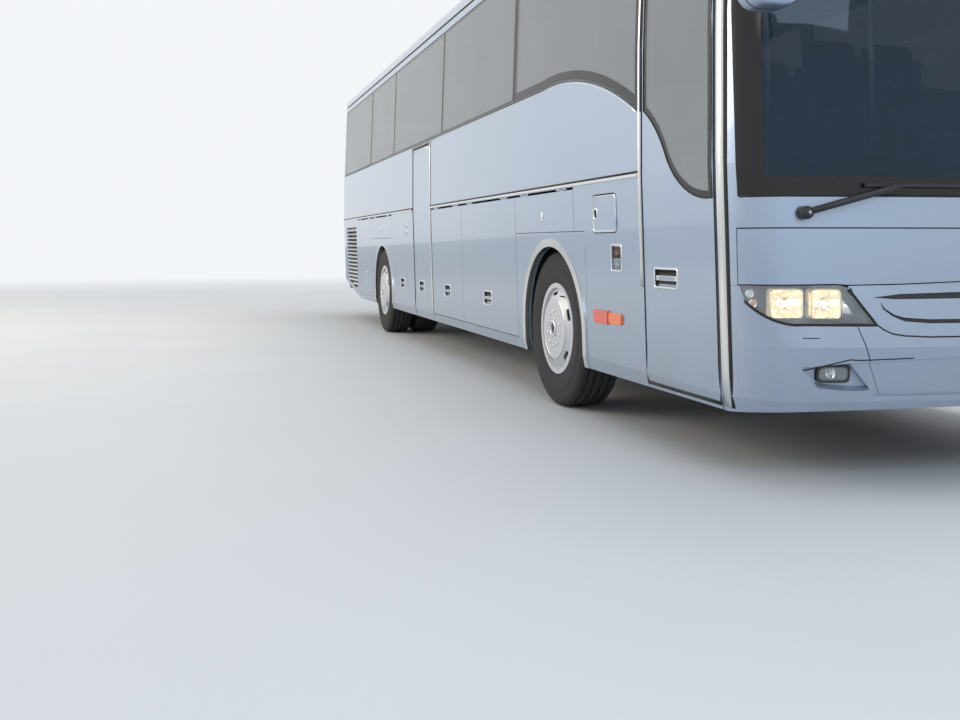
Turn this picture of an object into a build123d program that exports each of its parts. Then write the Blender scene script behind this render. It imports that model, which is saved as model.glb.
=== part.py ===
from build123d import *
import math
import os

os.makedirs("parts", exist_ok=True)

# A two-axle touring coach in millimetres. +X is ahead, +Y is its left side, +Z is up
# from the road. Places along the coach are measured ahead of the front axle.

# Whole vehicle
body_length = 12140
body_width = 2550
wheelbase = 6080
front_overhang = 2765
mirror_lead = 85
front_axle_x = (body_length + mirror_lead) / 2 - mirror_lead - front_overhang


def at(ahead_of_front_axle):
    """The X of a place that is measured ahead of the front axle."""
    return front_axle_x + ahead_of_front_axle


nose_x = at(front_overhang)
tail_x = nose_x - body_length
rear_axle_x = at(-wheelbase)

# Body shell
wall = 40
glass_thickness = 8
sill_z = 325
sill_crease_z = 400
waist_z = 1450
belt_z = 2140
gutter_z = 3220
loft_top_z = 3520
roof_corner_radius = 170
roof_corner_end = 6.4
roof_nose_radius = 450
roof_nose_from_tip = 620
roof_tail_radius = 240
mask_from_nose = 455
tail_panel_depth = 150
tail_corner_radius = 76
seam = 5
mask_x = nose_x - mask_from_nose
tail_panel_x = tail_x + tail_panel_depth

# Side line, as height and inset from half of the body's width
side_line = (
    (sill_z, 49),
    (sill_crease_z, 34),
    (waist_z, 0),
    (belt_z, 0),
    (gutter_z, 36),
    (loft_top_z, 46),
)

# Plan sections of the nose, as height, setback of its tip and radius of its bow
lower_nose = (
    (sill_z, 60, 4000),
    (sill_crease_z, 30, 4000),
    (640, 0, 4000),
    (907, 30, 4000),
    (1285, 45, 4000),
    (waist_z, 52, 4000),
    (belt_z, 85, 4000),
)
upper_nose = (
    (belt_z, 85, 4000),
    (2700, 128, 4000),
    (gutter_z, 172, 4000),
    (loft_top_z, 200, 4000),
)

# The tail leans ahead above the waist, as height and lean
tail_line = (
    (sill_z, 0),
    (waist_z, 0),
    (belt_z, 20),
    (gutter_z, 60),
    (loft_top_z, 72),
)

# Running gear
tyre_radius = 522
tyre_width = 295
rim_radius = 286
flange_radius = 306
rim_plate = 11
track_front = 2150
twin_outer_y = 1105
twin_spacing = 340
spindle_radius = 40
running_fit = 0.05
axle_z = tyre_radius
kingpin_y = 905
final_drive_radius = 210
drive_flange_x = rear_axle_x - 255
drive_flange_z = 595
arch_centre = 22
arch_opening_radius = 552
arch_lip_width = 55
housing_radius = 660
housing_sheet = 12
housing_inner_y = 480

# Floors
floor_z = 1360
floor_sheet = 40
cab_floor_z = 950
hold_floor_z = 400
hold_front = -700
hold_rear = -4930
hold_sheet = 25

# Doorways, as rear edge, front edge and top
front_door_rear = 1469
front_door_front = 2268
front_door_top = 3090
mid_door_rear = -4283
mid_door_front = -3438
mid_door_top = 2130
door_gap = 6
door_lead_gap = 13

# Swing of the plug doors
door_swing = 145
door_post_inset = 148
door_post_y = 1150
door_pin_inset = 668
door_pin_y = 1185

# Windows
window_bottom_z = 2146
window_top_z = 3130
frit_overlap = 45

# Luggage flaps
flap_bottom_z = 405
flap_top_z = 1434
hinge_radius = 6
hinge_z = flap_top_z + 8


def half_width(z):
    """Half of the body's width at a height, along its side line."""
    for (low, low_inset), (high, high_inset) in zip(side_line, side_line[1:]):
        if z <= high:
            share = (z - low) / (high - low)
            return body_width / 2 - low_inset - share * (high_inset - low_inset)
    return body_width / 2 - side_line[-1][1]


def block(x0, x1, y0, y1, z0, z1):
    """A box between two corners."""
    centre = ((x0 + x1) / 2, (y0 + y1) / 2, (z0 + z1) / 2)
    return Pos(*centre) * Box(abs(x1 - x0), abs(y1 - y0), abs(z1 - z0))


def rod(start, end, radius):
    """A round bar between two points."""
    start = Vector(*start)
    along = Vector(*end) - start
    return extrude(Plane(start, z_dir=along) * Circle(radius), along.length)


def tail_lean(z):
    """How far the tail stands ahead of the tail line at a height."""
    for (low, low_lean), (high, high_lean) in zip(tail_line, tail_line[1:]):
        if z <= high:
            return low_lean + (z - low) / (high - low) * (high_lean - low_lean)
    return tail_line[-1][1]


def nose_section(z, setback, bow, inset):
    """A plan section of the nose: a bowed front whose corners run into the flat sides."""
    side = half_width(z)
    bow_x = nose_x - setback - bow
    run = mask_x - bow_x
    corner = (bow ** 2 - run ** 2 - side ** 2) / (2 * (bow - side))
    corner_y = side - corner
    meet_angle = math.atan2(corner_y, run)
    middle = (math.pi / 2 + meet_angle) / 2
    corner -= inset
    bow -= inset
    bend = (mask_x + corner * math.cos(middle), corner_y + corner * math.sin(middle))
    meet = (bow_x + bow * math.cos(meet_angle), bow * math.sin(meet_angle))
    edges = [
        ThreePointArc((mask_x, side - inset, z), (*bend, z), (*meet, z)),
        ThreePointArc((*meet, z), (bow_x + bow, 0, z), (meet[0], -meet[1], z)),
        ThreePointArc((meet[0], -meet[1], z), (bend[0], -bend[1], z), (mask_x, inset - side, z)),
        Line((mask_x, inset - side, z), (mask_x, side - inset, z)),
    ]
    return Face(Wire(edges))


def tail_stage(low, high, inset):
    """The tail between two heights: its outline pushed up along the lean of its back and sides."""
    side = half_width(low) - inset
    corner = tail_corner_radius - inset
    back = tail_x + tail_lean(low) + inset
    bite = corner * (1 - math.sqrt(0.5))
    front = tail_panel_x + tail_corner_radius
    edges = [
        Line((front, side / 3, low), (front, side, low)),
        Line((front, side, low), (back + corner, side, low)),
        ThreePointArc((back + corner, side, low), (back + bite, side - bite, low),
                      (back, side - corner, low)),
        Line((back, side - corner, low), (back, side / 3, low)),
        Line((back, side / 3, low), (front, side / 3, low)),
    ]
    lean = tail_lean(high) - tail_lean(low)
    push = Vector(lean, half_width(high) - half_width(low), high - low)
    half = extrude(Face(Wire(edges)), push.length, dir=push)
    middle = polygon_xz([(back, low), (back + lean, high), (front, high), (front, low)],
                        -side / 2, side / 2)
    stage = half + mirror(half, Plane.XZ) + middle
    return stage & block(tail_x, tail_panel_x, -body_width, body_width, low, high)


def cross_section(inset):
    """The face across the coach: its sides and a roof of two corners under a shallow crown."""
    corner = roof_corner_radius - inset
    corner_y = half_width(gutter_z) - roof_corner_radius
    end = math.radians(90 - roof_corner_end)
    middle = end / 2
    start = (corner_y + corner, gutter_z)
    bend = (corner_y + corner * math.cos(middle), gutter_z + corner * math.sin(middle))
    meet = (corner_y + corner * math.cos(end), gutter_z + corner * math.sin(end))
    crown_z = gutter_z - corner_y * math.tan(end)
    top = (0, crown_z + corner_y / math.cos(end) + corner)
    right = [(half_width(z) - inset, z) for z, _ in side_line[:-1]]
    edges = [Line(a, b) for a, b in zip(right, right[1:])]
    edges += [
        ThreePointArc(start, bend, meet),
        ThreePointArc(meet, top, (-meet[0], meet[1])),
        ThreePointArc((-meet[0], meet[1]), (-bend[0], bend[1]), (-start[0], start[1])),
    ]
    left = [(-y, z) for y, z in right[::-1]]
    edges += [Line(a, b) for a, b in zip(left, left[1:])]
    edges.append(Line(left[-1], right[0]))
    return Face(Wire(edges)), top[1]


def rounded_roof(inset):
    """The space under the roof's surfaces, open to below, for the nose and the tail."""
    face, top_z = cross_section(inset)
    wide = body_width
    across = extrude(Plane.YZ.offset(-body_length) * face, 2 * body_length)
    across += block(-body_length, body_length, -wide, wide, 0, gutter_z)
    crest_z = top_z + 2
    turn = math.radians(75)
    radius = roof_nose_radius - inset
    bow = lower_nose[0][2]
    centre = (bow - roof_nose_from_tip, crest_z - radius)
    low = (centre[0] + radius * math.sin(turn), centre[1] + radius * math.cos(turn))
    bend = (centre[0] + radius * math.sin(turn / 2), centre[1] + radius * math.cos(turn / 2))
    reach = bow + 200
    edges = [
        Line((0, 0), (reach, 0)),
        Line((reach, 0), (reach, low[1])),
        Line((reach, low[1]), low),
        ThreePointArc(low, bend, (centre[0], crest_z)),
        Line((centre[0], crest_z), (0, crest_z)),
        Line((0, crest_z), (0, 0)),
    ]
    face = Plane((nose_x - bow, 0, 0), x_dir=(1, 0, 0), z_dir=(0, -1, 0)) * Face(Wire(edges))
    axis = Axis((nose_x - bow, 0, 0), (0, 0, 1))
    nose = revolve(face, axis, 40) + revolve(face, axis, -40)
    radius = roof_tail_radius - inset
    centre = (tail_x + tail_line[-1][1] + roof_tail_radius, crest_z - radius)
    low = (centre[0] - radius * math.sin(turn), centre[1] + radius * math.cos(turn))
    bend = (centre[0] - radius * math.sin(turn / 2), centre[1] + radius * math.cos(turn / 2))
    reach = tail_x - 200
    edges = [
        Line((0, 0), (0, crest_z)),
        Line((0, crest_z), (centre[0], crest_z)),
        ThreePointArc((centre[0], crest_z), bend, low),
        Line(low, (reach, low[1])),
        Line((reach, low[1]), (reach, 0)),
        Line((reach, 0), (0, 0)),
    ]
    plane = Plane((0, wide, 0), x_dir=(1, 0, 0), z_dir=(0, -1, 0))
    tail = extrude(plane * Face(Wire(edges)), 2 * wide)
    return across, nose, tail


def body_parts(inset):
    """Nose, straight body and tail as solids, their surfaces moved in by the inset."""
    face, top_z = cross_section(inset)
    round_x = nose_x - roof_nose_from_tip - 60
    rear_x = tail_panel_x + roof_tail_radius
    across, nose_round, tail_round = rounded_roof(inset)
    nose = loft([nose_section(*row, inset) for row in lower_nose], ruled=True)
    nose += loft([nose_section(*row, inset) for row in upper_nose]) & across & nose_round
    heights = [z for z, _ in side_line]
    tail = tail_stage(heights[-2], heights[-1], inset) & across & tail_round
    for low, high in zip(heights[:-2], heights[1:-1]):
        tail += tail_stage(low, high, inset)
    middle = extrude(Plane.YZ.offset(rear_x) * face, round_x - rear_x)
    middle += extrude(Plane.YZ.offset(round_x) * face, mask_x - round_x) & nose_round
    middle += extrude(Plane.YZ.offset(tail_panel_x) * face, rear_x - tail_panel_x) & tail_round
    return nose, middle, tail


def side_panel(x0, x1, z0, z1, inset=0, depth=wall):
    """A piece of the right side wall between two heights, from one inset to another."""
    heights = [z0] + [z for z, _ in side_line if z0 < z < z1] + [z1]
    points = [(inset - half_width(z), z) for z in heights]
    points += [(depth - half_width(z), z) for z in heights[::-1]]
    return polygon_yz(points, x0, x1)


def side_cutter(x0, x1, z0, z1, radius=0, depth0=700, depth1=1500):
    """A prism through the right side wall over a rounded rectangle."""
    outline = Rectangle(x1 - x0, z1 - z0)
    if radius:
        outline = RectangleRounded(x1 - x0, z1 - z0, radius)
    plane = Plane(((x0 + x1) / 2, -depth0, (z0 + z1) / 2), x_dir=(1, 0, 0), z_dir=(0, -1, 0))
    return extrude(plane * outline, depth1 - depth0)


def side_profile(edges, depth0=700, depth1=1500):
    """A prism through the right side wall over a drawn outline of X and Z."""
    plane = Plane((0, -depth0, 0), x_dir=(1, 0, 0), z_dir=(0, -1, 0))
    return extrude(plane * Face(Wire(edges)), depth1 - depth0)


def polygon_yz(points, x0, x1):
    """A prism along X over a polygon of Y and Z."""
    plane = Plane((x0, 0, 0), x_dir=(0, 1, 0), z_dir=(1, 0, 0))
    return extrude(plane * make_face(Polyline(*points, close=True)), x1 - x0)


def polygon_xz(points, y0, y1):
    """A prism along Y over a polygon of X and Z."""
    plane = Plane((0, y1, 0), x_dir=(1, 0, 0), z_dir=(0, -1, 0))
    return extrude(plane * make_face(Polyline(*points, close=True)), y1 - y0)


def opposite(shape):
    """The same shape on the coach's other side."""
    return mirror(shape, Plane.XZ)


nodes = {}

# Body shell, split where the panels meet
outer_nose, outer_middle, outer_tail = body_parts(0)
glass_nose, glass_middle, glass_tail = body_parts(glass_thickness)
inner_nose, inner_middle, inner_tail = body_parts(wall)
cabin = inner_nose + inner_middle + inner_tail
far = body_length

# The tail and the nose are cut away below, for the ramp angles
ramp_start = at(-7909)
tail_ramp_rise = 260
nose_ramp_rise = 55
tail_ramp = polygon_xz([(ramp_start, sill_z), (tail_x - 50, sill_z + tail_ramp_rise),
                        (tail_x - 50, 0), (ramp_start, 0)], -body_width, body_width)
nose_ramp = polygon_xz([(mask_x, sill_z), (nose_x + 50, sill_z + nose_ramp_rise),
                        (nose_x + 50, 0), (mask_x, 0)], -body_width, body_width)

front_shell = outer_nose - inner_nose
tail_shell = outer_tail - inner_tail
above = block(-far, far, -far, far, gutter_z, 2 * gutter_z)
under = block(-far, far, -far, far, 0, gutter_z)
roof = (outer_middle - inner_middle) & above
roof = roof + (front_shell & above) + (tail_shell & above)
front_end = (front_shell & under) - nose_ramp
tail_end = (tail_shell & under) - tail_ramp
nose_skin = (outer_nose - glass_nose) & under
tail_skin = (outer_tail - glass_tail) & under
right_plain = side_panel(tail_panel_x, mask_x, sill_z, gutter_z) - tail_ramp
left_plain = mirror(right_plain, Plane.XZ)
skin = side_panel(tail_panel_x, mask_x, sill_z, gutter_z, 0, glass_thickness)
left_skin = mirror(skin, Plane.XZ)

# Wheel arches: a round opening with straight legs down to the sill
front_arch_x = at(arch_centre)
rear_arch_x = rear_axle_x - 20


def arch_cutter(x, radius):
    """The opening of a wheel arch through the right side."""
    round_part = side_profile([CenterArc((x, axle_z), radius, 0, 360)])
    return round_part + side_cutter(x - radius, x + radius, 0, axle_z)


arches = [arch_cutter(x, arch_opening_radius) for x in (front_arch_x, rear_arch_x)]

# Window panes of the sides, as rear edge and front edge ahead of the front axle
pane_gap = 8
tail_pane_rear = -9180
wave_start = -100
wave_bend = (880, 108)
wave_end = (1462, 344)
right_panes = (
    (tail_pane_rear, -6900),
    (-6900, -5330),
    (-5330, -2970),
    (-2970, -740),
)


def wave_edges(x_rear, lift):
    """The foremost pane: its lower edge falls in a wave towards the door post."""
    top = window_top_z - lift
    low = window_bottom_z + lift
    a = (x_rear, low)
    b = (at(wave_start), low)
    c = (at(wave_bend[0]), low - wave_bend[1])
    d = (at(wave_end[0]) - pane_gap - lift, window_bottom_z - wave_end[1] + lift)
    e = (d[0], top)
    f = (x_rear, top)
    return [Line(a, b), ThreePointArc(b, c, d), Line(d, e), Line(e, f), Line(f, a)]


panes = []
apertures = []
for rear, front in right_panes:
    x0 = at(rear) + pane_gap / 2
    x1 = at(front) - pane_gap / 2
    panes.append(side_cutter(x0, x1, window_bottom_z, window_top_z, 25))
    apertures.append(side_cutter(x0 + frit_overlap, x1 - frit_overlap,
                                 window_bottom_z + frit_overlap,
                                 window_top_z - frit_overlap, 60))
panes.append(side_profile(wave_edges(at(-740) + pane_gap / 2, 0)))
apertures.append(side_profile(wave_edges(at(-740) + pane_gap / 2 + frit_overlap, frit_overlap)))

# The driver's window on the left carries the wave on down to the windscreen
door_glass_rear = front_door_rear + door_gap


def wave_glass(x_rear, x_front, lift):
    """The glass ahead of the wave: its lower edge drops to the windscreen's foot."""
    top = window_top_z - 40 - lift
    a = (at(x_rear) + lift, window_bottom_z - 350 + lift)
    b = (at(1620), 1712 + lift)
    c = (at(1750), 1560 + lift)
    d = (at(1900), 1398 + lift)
    e = (at(x_front) - lift, 1304 + lift)
    f = (e[0], top)
    g = (a[0], top)
    return [ThreePointArc(a, b, c), ThreePointArc(c, d, e), Line(e, f), Line(f, g), Line(g, a)]


driver_pane = side_profile(wave_glass(front_door_rear, front_door_front, 0))
driver_aperture = side_profile(wave_glass(front_door_rear, front_door_front, frit_overlap))

# Doorways on the right
front_doorway = side_cutter(at(front_door_rear), at(front_door_front), 0, front_door_top)
mid_doorway = side_cutter(at(mid_door_rear), at(mid_door_front), 0, mid_door_top)

# Flaps of the sides, as name, rear edge, front edge, bottom and top
right_flaps = (
    ("luggage_flap_right_rear", -3430, -2264, flap_bottom_z, flap_top_z),
    ("luggage_flap_right_front", -2264, -716, flap_bottom_z, flap_top_z),
    ("engine_flap_right", -7940, -6850, flap_bottom_z, flap_top_z),
    ("wheel_flap_front", -716, 470, 1172, flap_top_z),
    ("wheel_flap_rear", -6850, -5476, 1172, flap_top_z),
)
left_flaps = (
    ("luggage_flap_left_rear", -4900, -3430, flap_bottom_z, flap_top_z),
    ("luggage_flap_left_middle", -3430, -2264, flap_bottom_z, flap_top_z),
    ("luggage_flap_left_front", -2264, -716, flap_bottom_z, flap_top_z),
    ("engine_flap_left", -7940, -6850, flap_bottom_z, flap_top_z),
)

right_wall = right_plain
left_wall = left_plain
for cutter in arches:
    right_wall -= cutter
    left_wall -= opposite(cutter)
for pane, aperture in zip(panes, apertures):
    right_wall = (right_wall - (skin & pane)) - aperture
    left_wall = (left_wall - (left_skin & opposite(pane))) - opposite(aperture)
left_wall = (left_wall - (left_skin & opposite(driver_pane))) - opposite(driver_aperture)
right_wall = right_wall - front_doorway - mid_doorway

side_glass = [skin & pane for pane in panes]
side_glass += [opposite(pane) for pane in side_glass]
side_glass.append(opposite(skin & driver_pane))


# The hinge line lies just inside of the surface, between flap and wall
def hinge_y():
    """Distance of the flap hinges from the coach's middle."""
    return half_width(hinge_z) - hinge_radius


knuckle = 60
knuckle_gap = 0.3
hinge_share = 0.18


def flap_hinges(x0, x1):
    """Knuckles at both ends of a flap on the right: the flap's own and the wall's."""
    own = []
    fixed = []
    y = -hinge_y()
    for x in (x0 + hinge_share * (x1 - x0), x1 - hinge_share * (x1 - x0)):
        own.append(rod((x - knuckle / 2, y, hinge_z), (x + knuckle / 2, y, hinge_z), hinge_radius))
        own.append(block(x - knuckle / 2, x + knuckle / 2, y - 4, y + 4, flap_top_z - 3, hinge_z))
        for side in (-1, 1):
            a = x + side * (knuckle / 2 + knuckle_gap)
            b = a + side * knuckle
            fixed.append(rod((min(a, b), y, hinge_z), (max(a, b), y, hinge_z), hinge_radius))
            fixed.append(block(a, b, y - 4, y + 4, hinge_z, hinge_z + 11))
    return own, fixed


def make_flap(x0, x1, z0, z1):
    """A flap of the right side with its knuckles, and what it leaves in the wall."""
    leaf = side_panel(x0 + seam / 2, x1 - seam / 2, z0, z1)
    own, fixed = flap_hinges(x0, x1)
    for solid in own:
        leaf += solid
    opening = side_cutter(x0 - seam / 2, x1 + seam / 2, z0 - seam, hinge_z + 8)
    return leaf, opening, fixed


# Handles, as place ahead of the front axle, height, length and height of the pocket
pocket_depth = 14
handle_z = 652
flap_handles = {
    "luggage_flap_right_rear": (-2827, handle_z, 220, 112),
    "luggage_flap_right_front": (-1494, handle_z, 220, 112),
    "engine_flap_right": (-7360, handle_z, 66, 150),
    "luggage_flap_left_rear": (-4165, handle_z, 220, 112),
    "luggage_flap_left_middle": (-2827, handle_z, 220, 112),
    "luggage_flap_left_front": (-1494, handle_z, 220, 112),
    "engine_flap_left": (-7360, handle_z, 66, 150),
}


def recess(x, z, length, height, depth=pocket_depth, radius=12):
    """A shallow pocket in the right side's surface."""
    return side_cutter(at(x) - length / 2, at(x) + length / 2, z - height / 2, z + height / 2,
                       radius, half_width(z) - depth)


def add_handle(panel, x, z, length, height):
    """A panel of the right side with a pocket and a lever across its longer way."""
    panel = panel - recess(x, z, length, height)
    half_x = length / 2 - 8 if length > height else 9
    half_z = 12 if length > height else height / 2 - 8
    lever = side_cutter(at(x) - half_x, at(x) + half_x, z - half_z, z + half_z, 8,
                        half_width(z) - pocket_depth - 1, half_width(z) - 3)
    return panel + lever


right_openings = []
right_knuckles = []
for name, rear, front, bottom, top in right_flaps:
    leaf, opening, fixed = make_flap(at(rear), at(front), bottom, top)
    if name in flap_handles:
        leaf = add_handle(leaf, *flap_handles[name])
    nodes[name] = leaf
    right_openings.append(opening)
    right_knuckles += fixed
right_wall = right_wall.cut(*right_openings).fuse(*right_knuckles)
left_openings = []
left_knuckles = []
for name, rear, front, bottom, top in left_flaps:
    leaf, opening, fixed = make_flap(at(rear), at(front), bottom, top)
    leaf = add_handle(leaf, *flap_handles[name])
    nodes[name] = opposite(leaf)
    left_openings.append(opposite(opening))
    left_knuckles += [opposite(solid) for solid in fixed]
left_wall = left_wall.cut(*left_openings).fuse(*left_knuckles)

# Fuel filler flap, hinged on an upright pin at its front edge
filler_rear = 786
filler_front = 1131
filler_bottom_z = 1158
filler_top_z = 1379
filler_radius = 28
filler_hinge_y = half_width((filler_bottom_z + filler_top_z) / 2)
filler_flap = right_plain & side_cutter(at(filler_rear), at(filler_front), filler_bottom_z,
                                        filler_top_z, filler_radius)
filler_pin_seam = 9
filler_knuckle_inset = 55
filler_knuckle_half = 15
pin_clearance = 2
filler_opening = side_cutter(at(filler_rear) - seam, at(filler_front) + filler_pin_seam,
                             filler_bottom_z - seam, filler_top_z + seam, filler_radius + seam)
filler_hinge_x = at(filler_front) + 2
right_wall -= filler_opening
filler_hinge = (filler_hinge_x, -filler_hinge_y - 1)
for z in (filler_bottom_z + filler_knuckle_inset, filler_top_z - filler_knuckle_inset):
    low = (*filler_hinge, z - filler_knuckle_half)
    high = (*filler_hinge, z + filler_knuckle_half)
    right_wall -= rod((*filler_hinge, low[2] - 1), (*filler_hinge, high[2] + 1),
                      hinge_radius + pin_clearance)
    filler_flap += rod(low, high, hinge_radius)
    for side in (-1, 1):
        a = z + side * (filler_knuckle_half + knuckle_gap)
        b = a + side * filler_knuckle_half
        filler_flap -= rod((*filler_hinge, min(a, b)), (*filler_hinge, max(a, b)),
                           hinge_radius + pin_clearance)
        right_wall += rod((*filler_hinge, min(a, b)), (*filler_hinge, max(a, b)), hinge_radius)
        right_wall += block(filler_hinge_x, filler_hinge_x + 14, filler_hinge[1] + 1,
                            filler_hinge[1] + 8, a, b)
filler_grip = (830, 1270, 50, 60)
nodes["filler_flap"] = filler_flap - recess(*filler_grip)

# Fixed fittings of the right side: a handle, two sockets and a small recessed plate
fixed_handle = (-4913, handle_z, 220, 112)
side_sockets = ((-4650, 1290, 60, 50), (-4650, 1222, 60, 50))
plate_recess = (1118, 1010, 145, 150, 8)
right_wall = add_handle(right_wall, *fixed_handle)
for place in side_sockets:
    right_wall -= recess(*place)
right_wall -= recess(*plate_recess)

# Air intakes beside the engine: slats in a frame that follows the cut-away tail
intake_rear = -9050
intake_front = -8120
intake_top_z = 1360
intake_low = ((-8120, 430), (-8300, 445), (-9050, 565))
intake_frame = 14
intake_depth = 32
slat_pitch = 56
slat_count = 16
slat_sheet = 7
slat_drop = 30


def intake_prism(inset):
    """The intake's outline through the right side, moved in by an inset."""
    points = [(at(intake_rear) + inset, intake_top_z - inset),
              (at(intake_front) - inset, intake_top_z - inset)]
    for x, z in intake_low:
        clamped = min(max(at(x), at(intake_rear) + inset), at(intake_front) - inset)
        points.append((clamped, z + inset))
    return polygon_xz(points, -body_width, -body_width / 4)


intake_panel = side_panel(at(intake_rear), at(intake_front), 400, intake_top_z, 2, intake_depth)
louvres = (intake_panel & intake_prism(0)) - intake_prism(intake_frame)
slats = []
for step in range(slat_count):
    z = intake_top_z - intake_frame - slat_pitch * (step + 1)
    y = 4 - half_width(z)
    slats.append(polygon_yz([(y, z), (y + intake_depth - 6, z + slat_drop),
                             (y + intake_depth - 6, z + slat_drop + slat_sheet),
                             (y, z + slat_sheet)], at(intake_rear) + 4, at(intake_front) - 4))
slat_set = slats[0].fuse(*slats[1:]) & intake_prism(4)
louvres += slat_set
right_wall -= intake_prism(0)
left_wall -= opposite(intake_prism(0))
nodes["engine_louvres"] = [louvres, opposite(louvres)]

# Side markers stand proud of the wall, as rear edge, front edge, bottom, top and depth
side_markers = ((784, 996, 622, 702, 16), (1000, 1180, 630, 694, 12))
marker_gap = 0.2
markers = []
for rear, front, bottom, top, proud in side_markers:
    marker = side_panel(at(rear), at(front), bottom, top, -proud, -marker_gap)
    marker = marker & side_cutter(at(rear), at(front), bottom, top, 22)
    markers += [marker, opposite(marker)]

# Lips round the wheel arches follow the wall and stand a little proud of it
lip_proud = 8
lip_top_z = 1132
arch_lips = []
for x in (front_arch_x, rear_arch_x):
    lip_radius = arch_opening_radius + arch_lip_width
    lip = side_panel(x - lip_radius - 5, x + lip_radius + 5, sill_z, lip_top_z + 5, -lip_proud, 24)
    lip = (lip & arch_cutter(x, lip_radius)) - arch_cutter(x, arch_opening_radius)
    right_wall -= lip
    left_wall -= opposite(lip)
    arch_lips += [lip, opposite(lip)]

# The side walls part over the middle door into lower walls and window frames. What stands ahead of
# the entrance goes with the front, and the cant rail over the entrance goes with the roof.
door_post_region = block(at(front_door_front), far, -far, far, 0, far)
cant_rail_region = block(at(front_door_rear), at(front_door_front), -far, 0, front_door_top, far)
belt_up = block(-far, far, -far, far, mid_door_top, far)
front_posts = (right_wall & door_post_region) + (left_wall & door_post_region)
roof += right_wall & cant_rail_region
right_wall = right_wall - door_post_region - cant_rail_region
left_wall -= door_post_region
nodes["window_frames"] = [right_wall & belt_up, left_wall & belt_up]
nodes["right_wall"] = right_wall - belt_up
nodes["left_wall"] = left_wall - belt_up
hatch_length = 720
hatch_width = 640
hatch_top_z = 3505
for x in (at(900), at(-5900)):
    hatch = block(x - hatch_length / 2, x + hatch_length / 2, -hatch_width / 2, hatch_width / 2,
                  hatch_top_z - 75, hatch_top_z)
    hatch = fillet(hatch.edges().filter_by(Axis.Z), 70)
    hatch = chamfer(hatch.faces().sort_by(Axis.Z)[-1].edges(), 18)
    roof += hatch
nodes["roof"] = roof

# Front: windscreen, mask, service flap, headlamps, grille and bumper. The outlines are
# drawn as seen from ahead, as Y and Z, and the sides of the screen as X and Z.
screen_bottom_z = 1300
screen_top_z = 3150
pillar_line = ((105, 0), (108, 1300), (75, 2176), (42, 3150))
flap_side = 102
lamp_top_z = 905
flap_top_front_z = 1156
top_seam = 6
flap_core_half = 900
corner_strip_y = 1000
shallow = 14
lamp_set = 18
deep = 34
groove = 5
lamp_corner = (-838, 893)
lamp_inner = (-724, 737)
flap_bottom = ((-1400, 910), (-1238, 910), (-895, 915), (-841, 911), (-606, 915), (-319, 925))
bumper_top = ((-1400, 905), (-1238, 905), (-1100, 760), lamp_inner, lamp_corner, (-606, 906),
              (-319, 920))
panel_line = ((-734, 744), (-694, 715), (-655, 697), (-601, 688), (-485, 682))
upper_slot = (((-735, 855), (-609, 870), (-322, 877)), ((-322, 849), (-634, 847)))
lower_slot = (((-704, 836), (-682, 806), (-641, 780), (-595, 767), (-478, 759)),
              ((-478, 741), (-598, 751), (-651, 773), (-692, 804)))
slant_line = ((-809, 729), (-758, 585), (-697, 430))
intake_outline = ((-835, 572), (-339, 594), (339, 594), (835, 572), (742, 448), (735, 425),
                  (-735, 425), (-742, 448))
pocket_outline = ((-1042, 536), (-843, 584), (-835, 571), (-742, 464), (-857, 451), (-974, 449),
                  (-1042, 523))
pocket_rise = 0.6
pocket_from_nose = 120


def front_profile(edges, x0=mask_x - 200, x1=nose_x + 200):
    """A prism along X over a drawn outline of Y and Z."""
    plane = Plane((x0, 0, 0), x_dir=(0, 1, 0), z_dir=(1, 0, 0))
    return extrude(plane * Face(Wire(edges)), x1 - x0, dir=Vector(1, 0, 0))


def across_front(right_half, foot_z):
    """A prism along X between a line that is given for the right half and a height."""
    points = list(right_half) + [(-y, z) for y, z in right_half[::-1]]
    points += [(-right_half[0][0], foot_z), (right_half[0][0], foot_z)]
    return polygon_yz(points, mask_x - 200, nose_x + 200)


def both_sides(outer, inner):
    """A slot across the front: its upper line and its lower line, given for the right half."""
    points = list(outer) + [(-y, z) for y, z in outer[::-1]]
    points += [(-y, z) for y, z in inner[::-1]] + list(inner)
    return polygon_yz(points, mask_x - 200, nose_x + 200)


def strip_outline(line, width):
    """A strip of a width along a line of points."""
    strip = None
    for (y0, z0), (y1, z1) in zip(line, line[1:]):
        length = math.hypot(y1 - y0, z1 - z0)
        ny = (z1 - z0) / length * width / 2
        nz = (y0 - y1) / length * width / 2
        piece = polygon_yz([(y0 + ny, z0 + nz), (y1 + ny, z1 + nz), (y1 - ny, z1 - nz),
                            (y0 - ny, z0 - nz)], mask_x - 200, nose_x + 200)
        strip = piece if strip is None else strip + piece
    return strip


def lower_inside(inset):
    """The nose below the belt with its surface moved in."""
    return loft([nose_section(*row, inset) for row in lower_nose], ruled=True)


lamp_prism = front_profile([
    Line((-1238, lamp_top_z), (-895, 909)),
    ThreePointArc((-895, 909), (-862, 905), lamp_corner),
    Line(lamp_corner, lamp_inner),
    Line(lamp_inner, (-1043, 740)),
    ThreePointArc((-1043, 740), (-1158, 764), (-1226, 836)),
    Line((-1226, 836), (-1238, lamp_top_z)),
])
shallow_nose = lower_inside(shallow)
lamp_nose = lower_inside(lamp_set)
deep_nose = lower_inside(deep)

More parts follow.
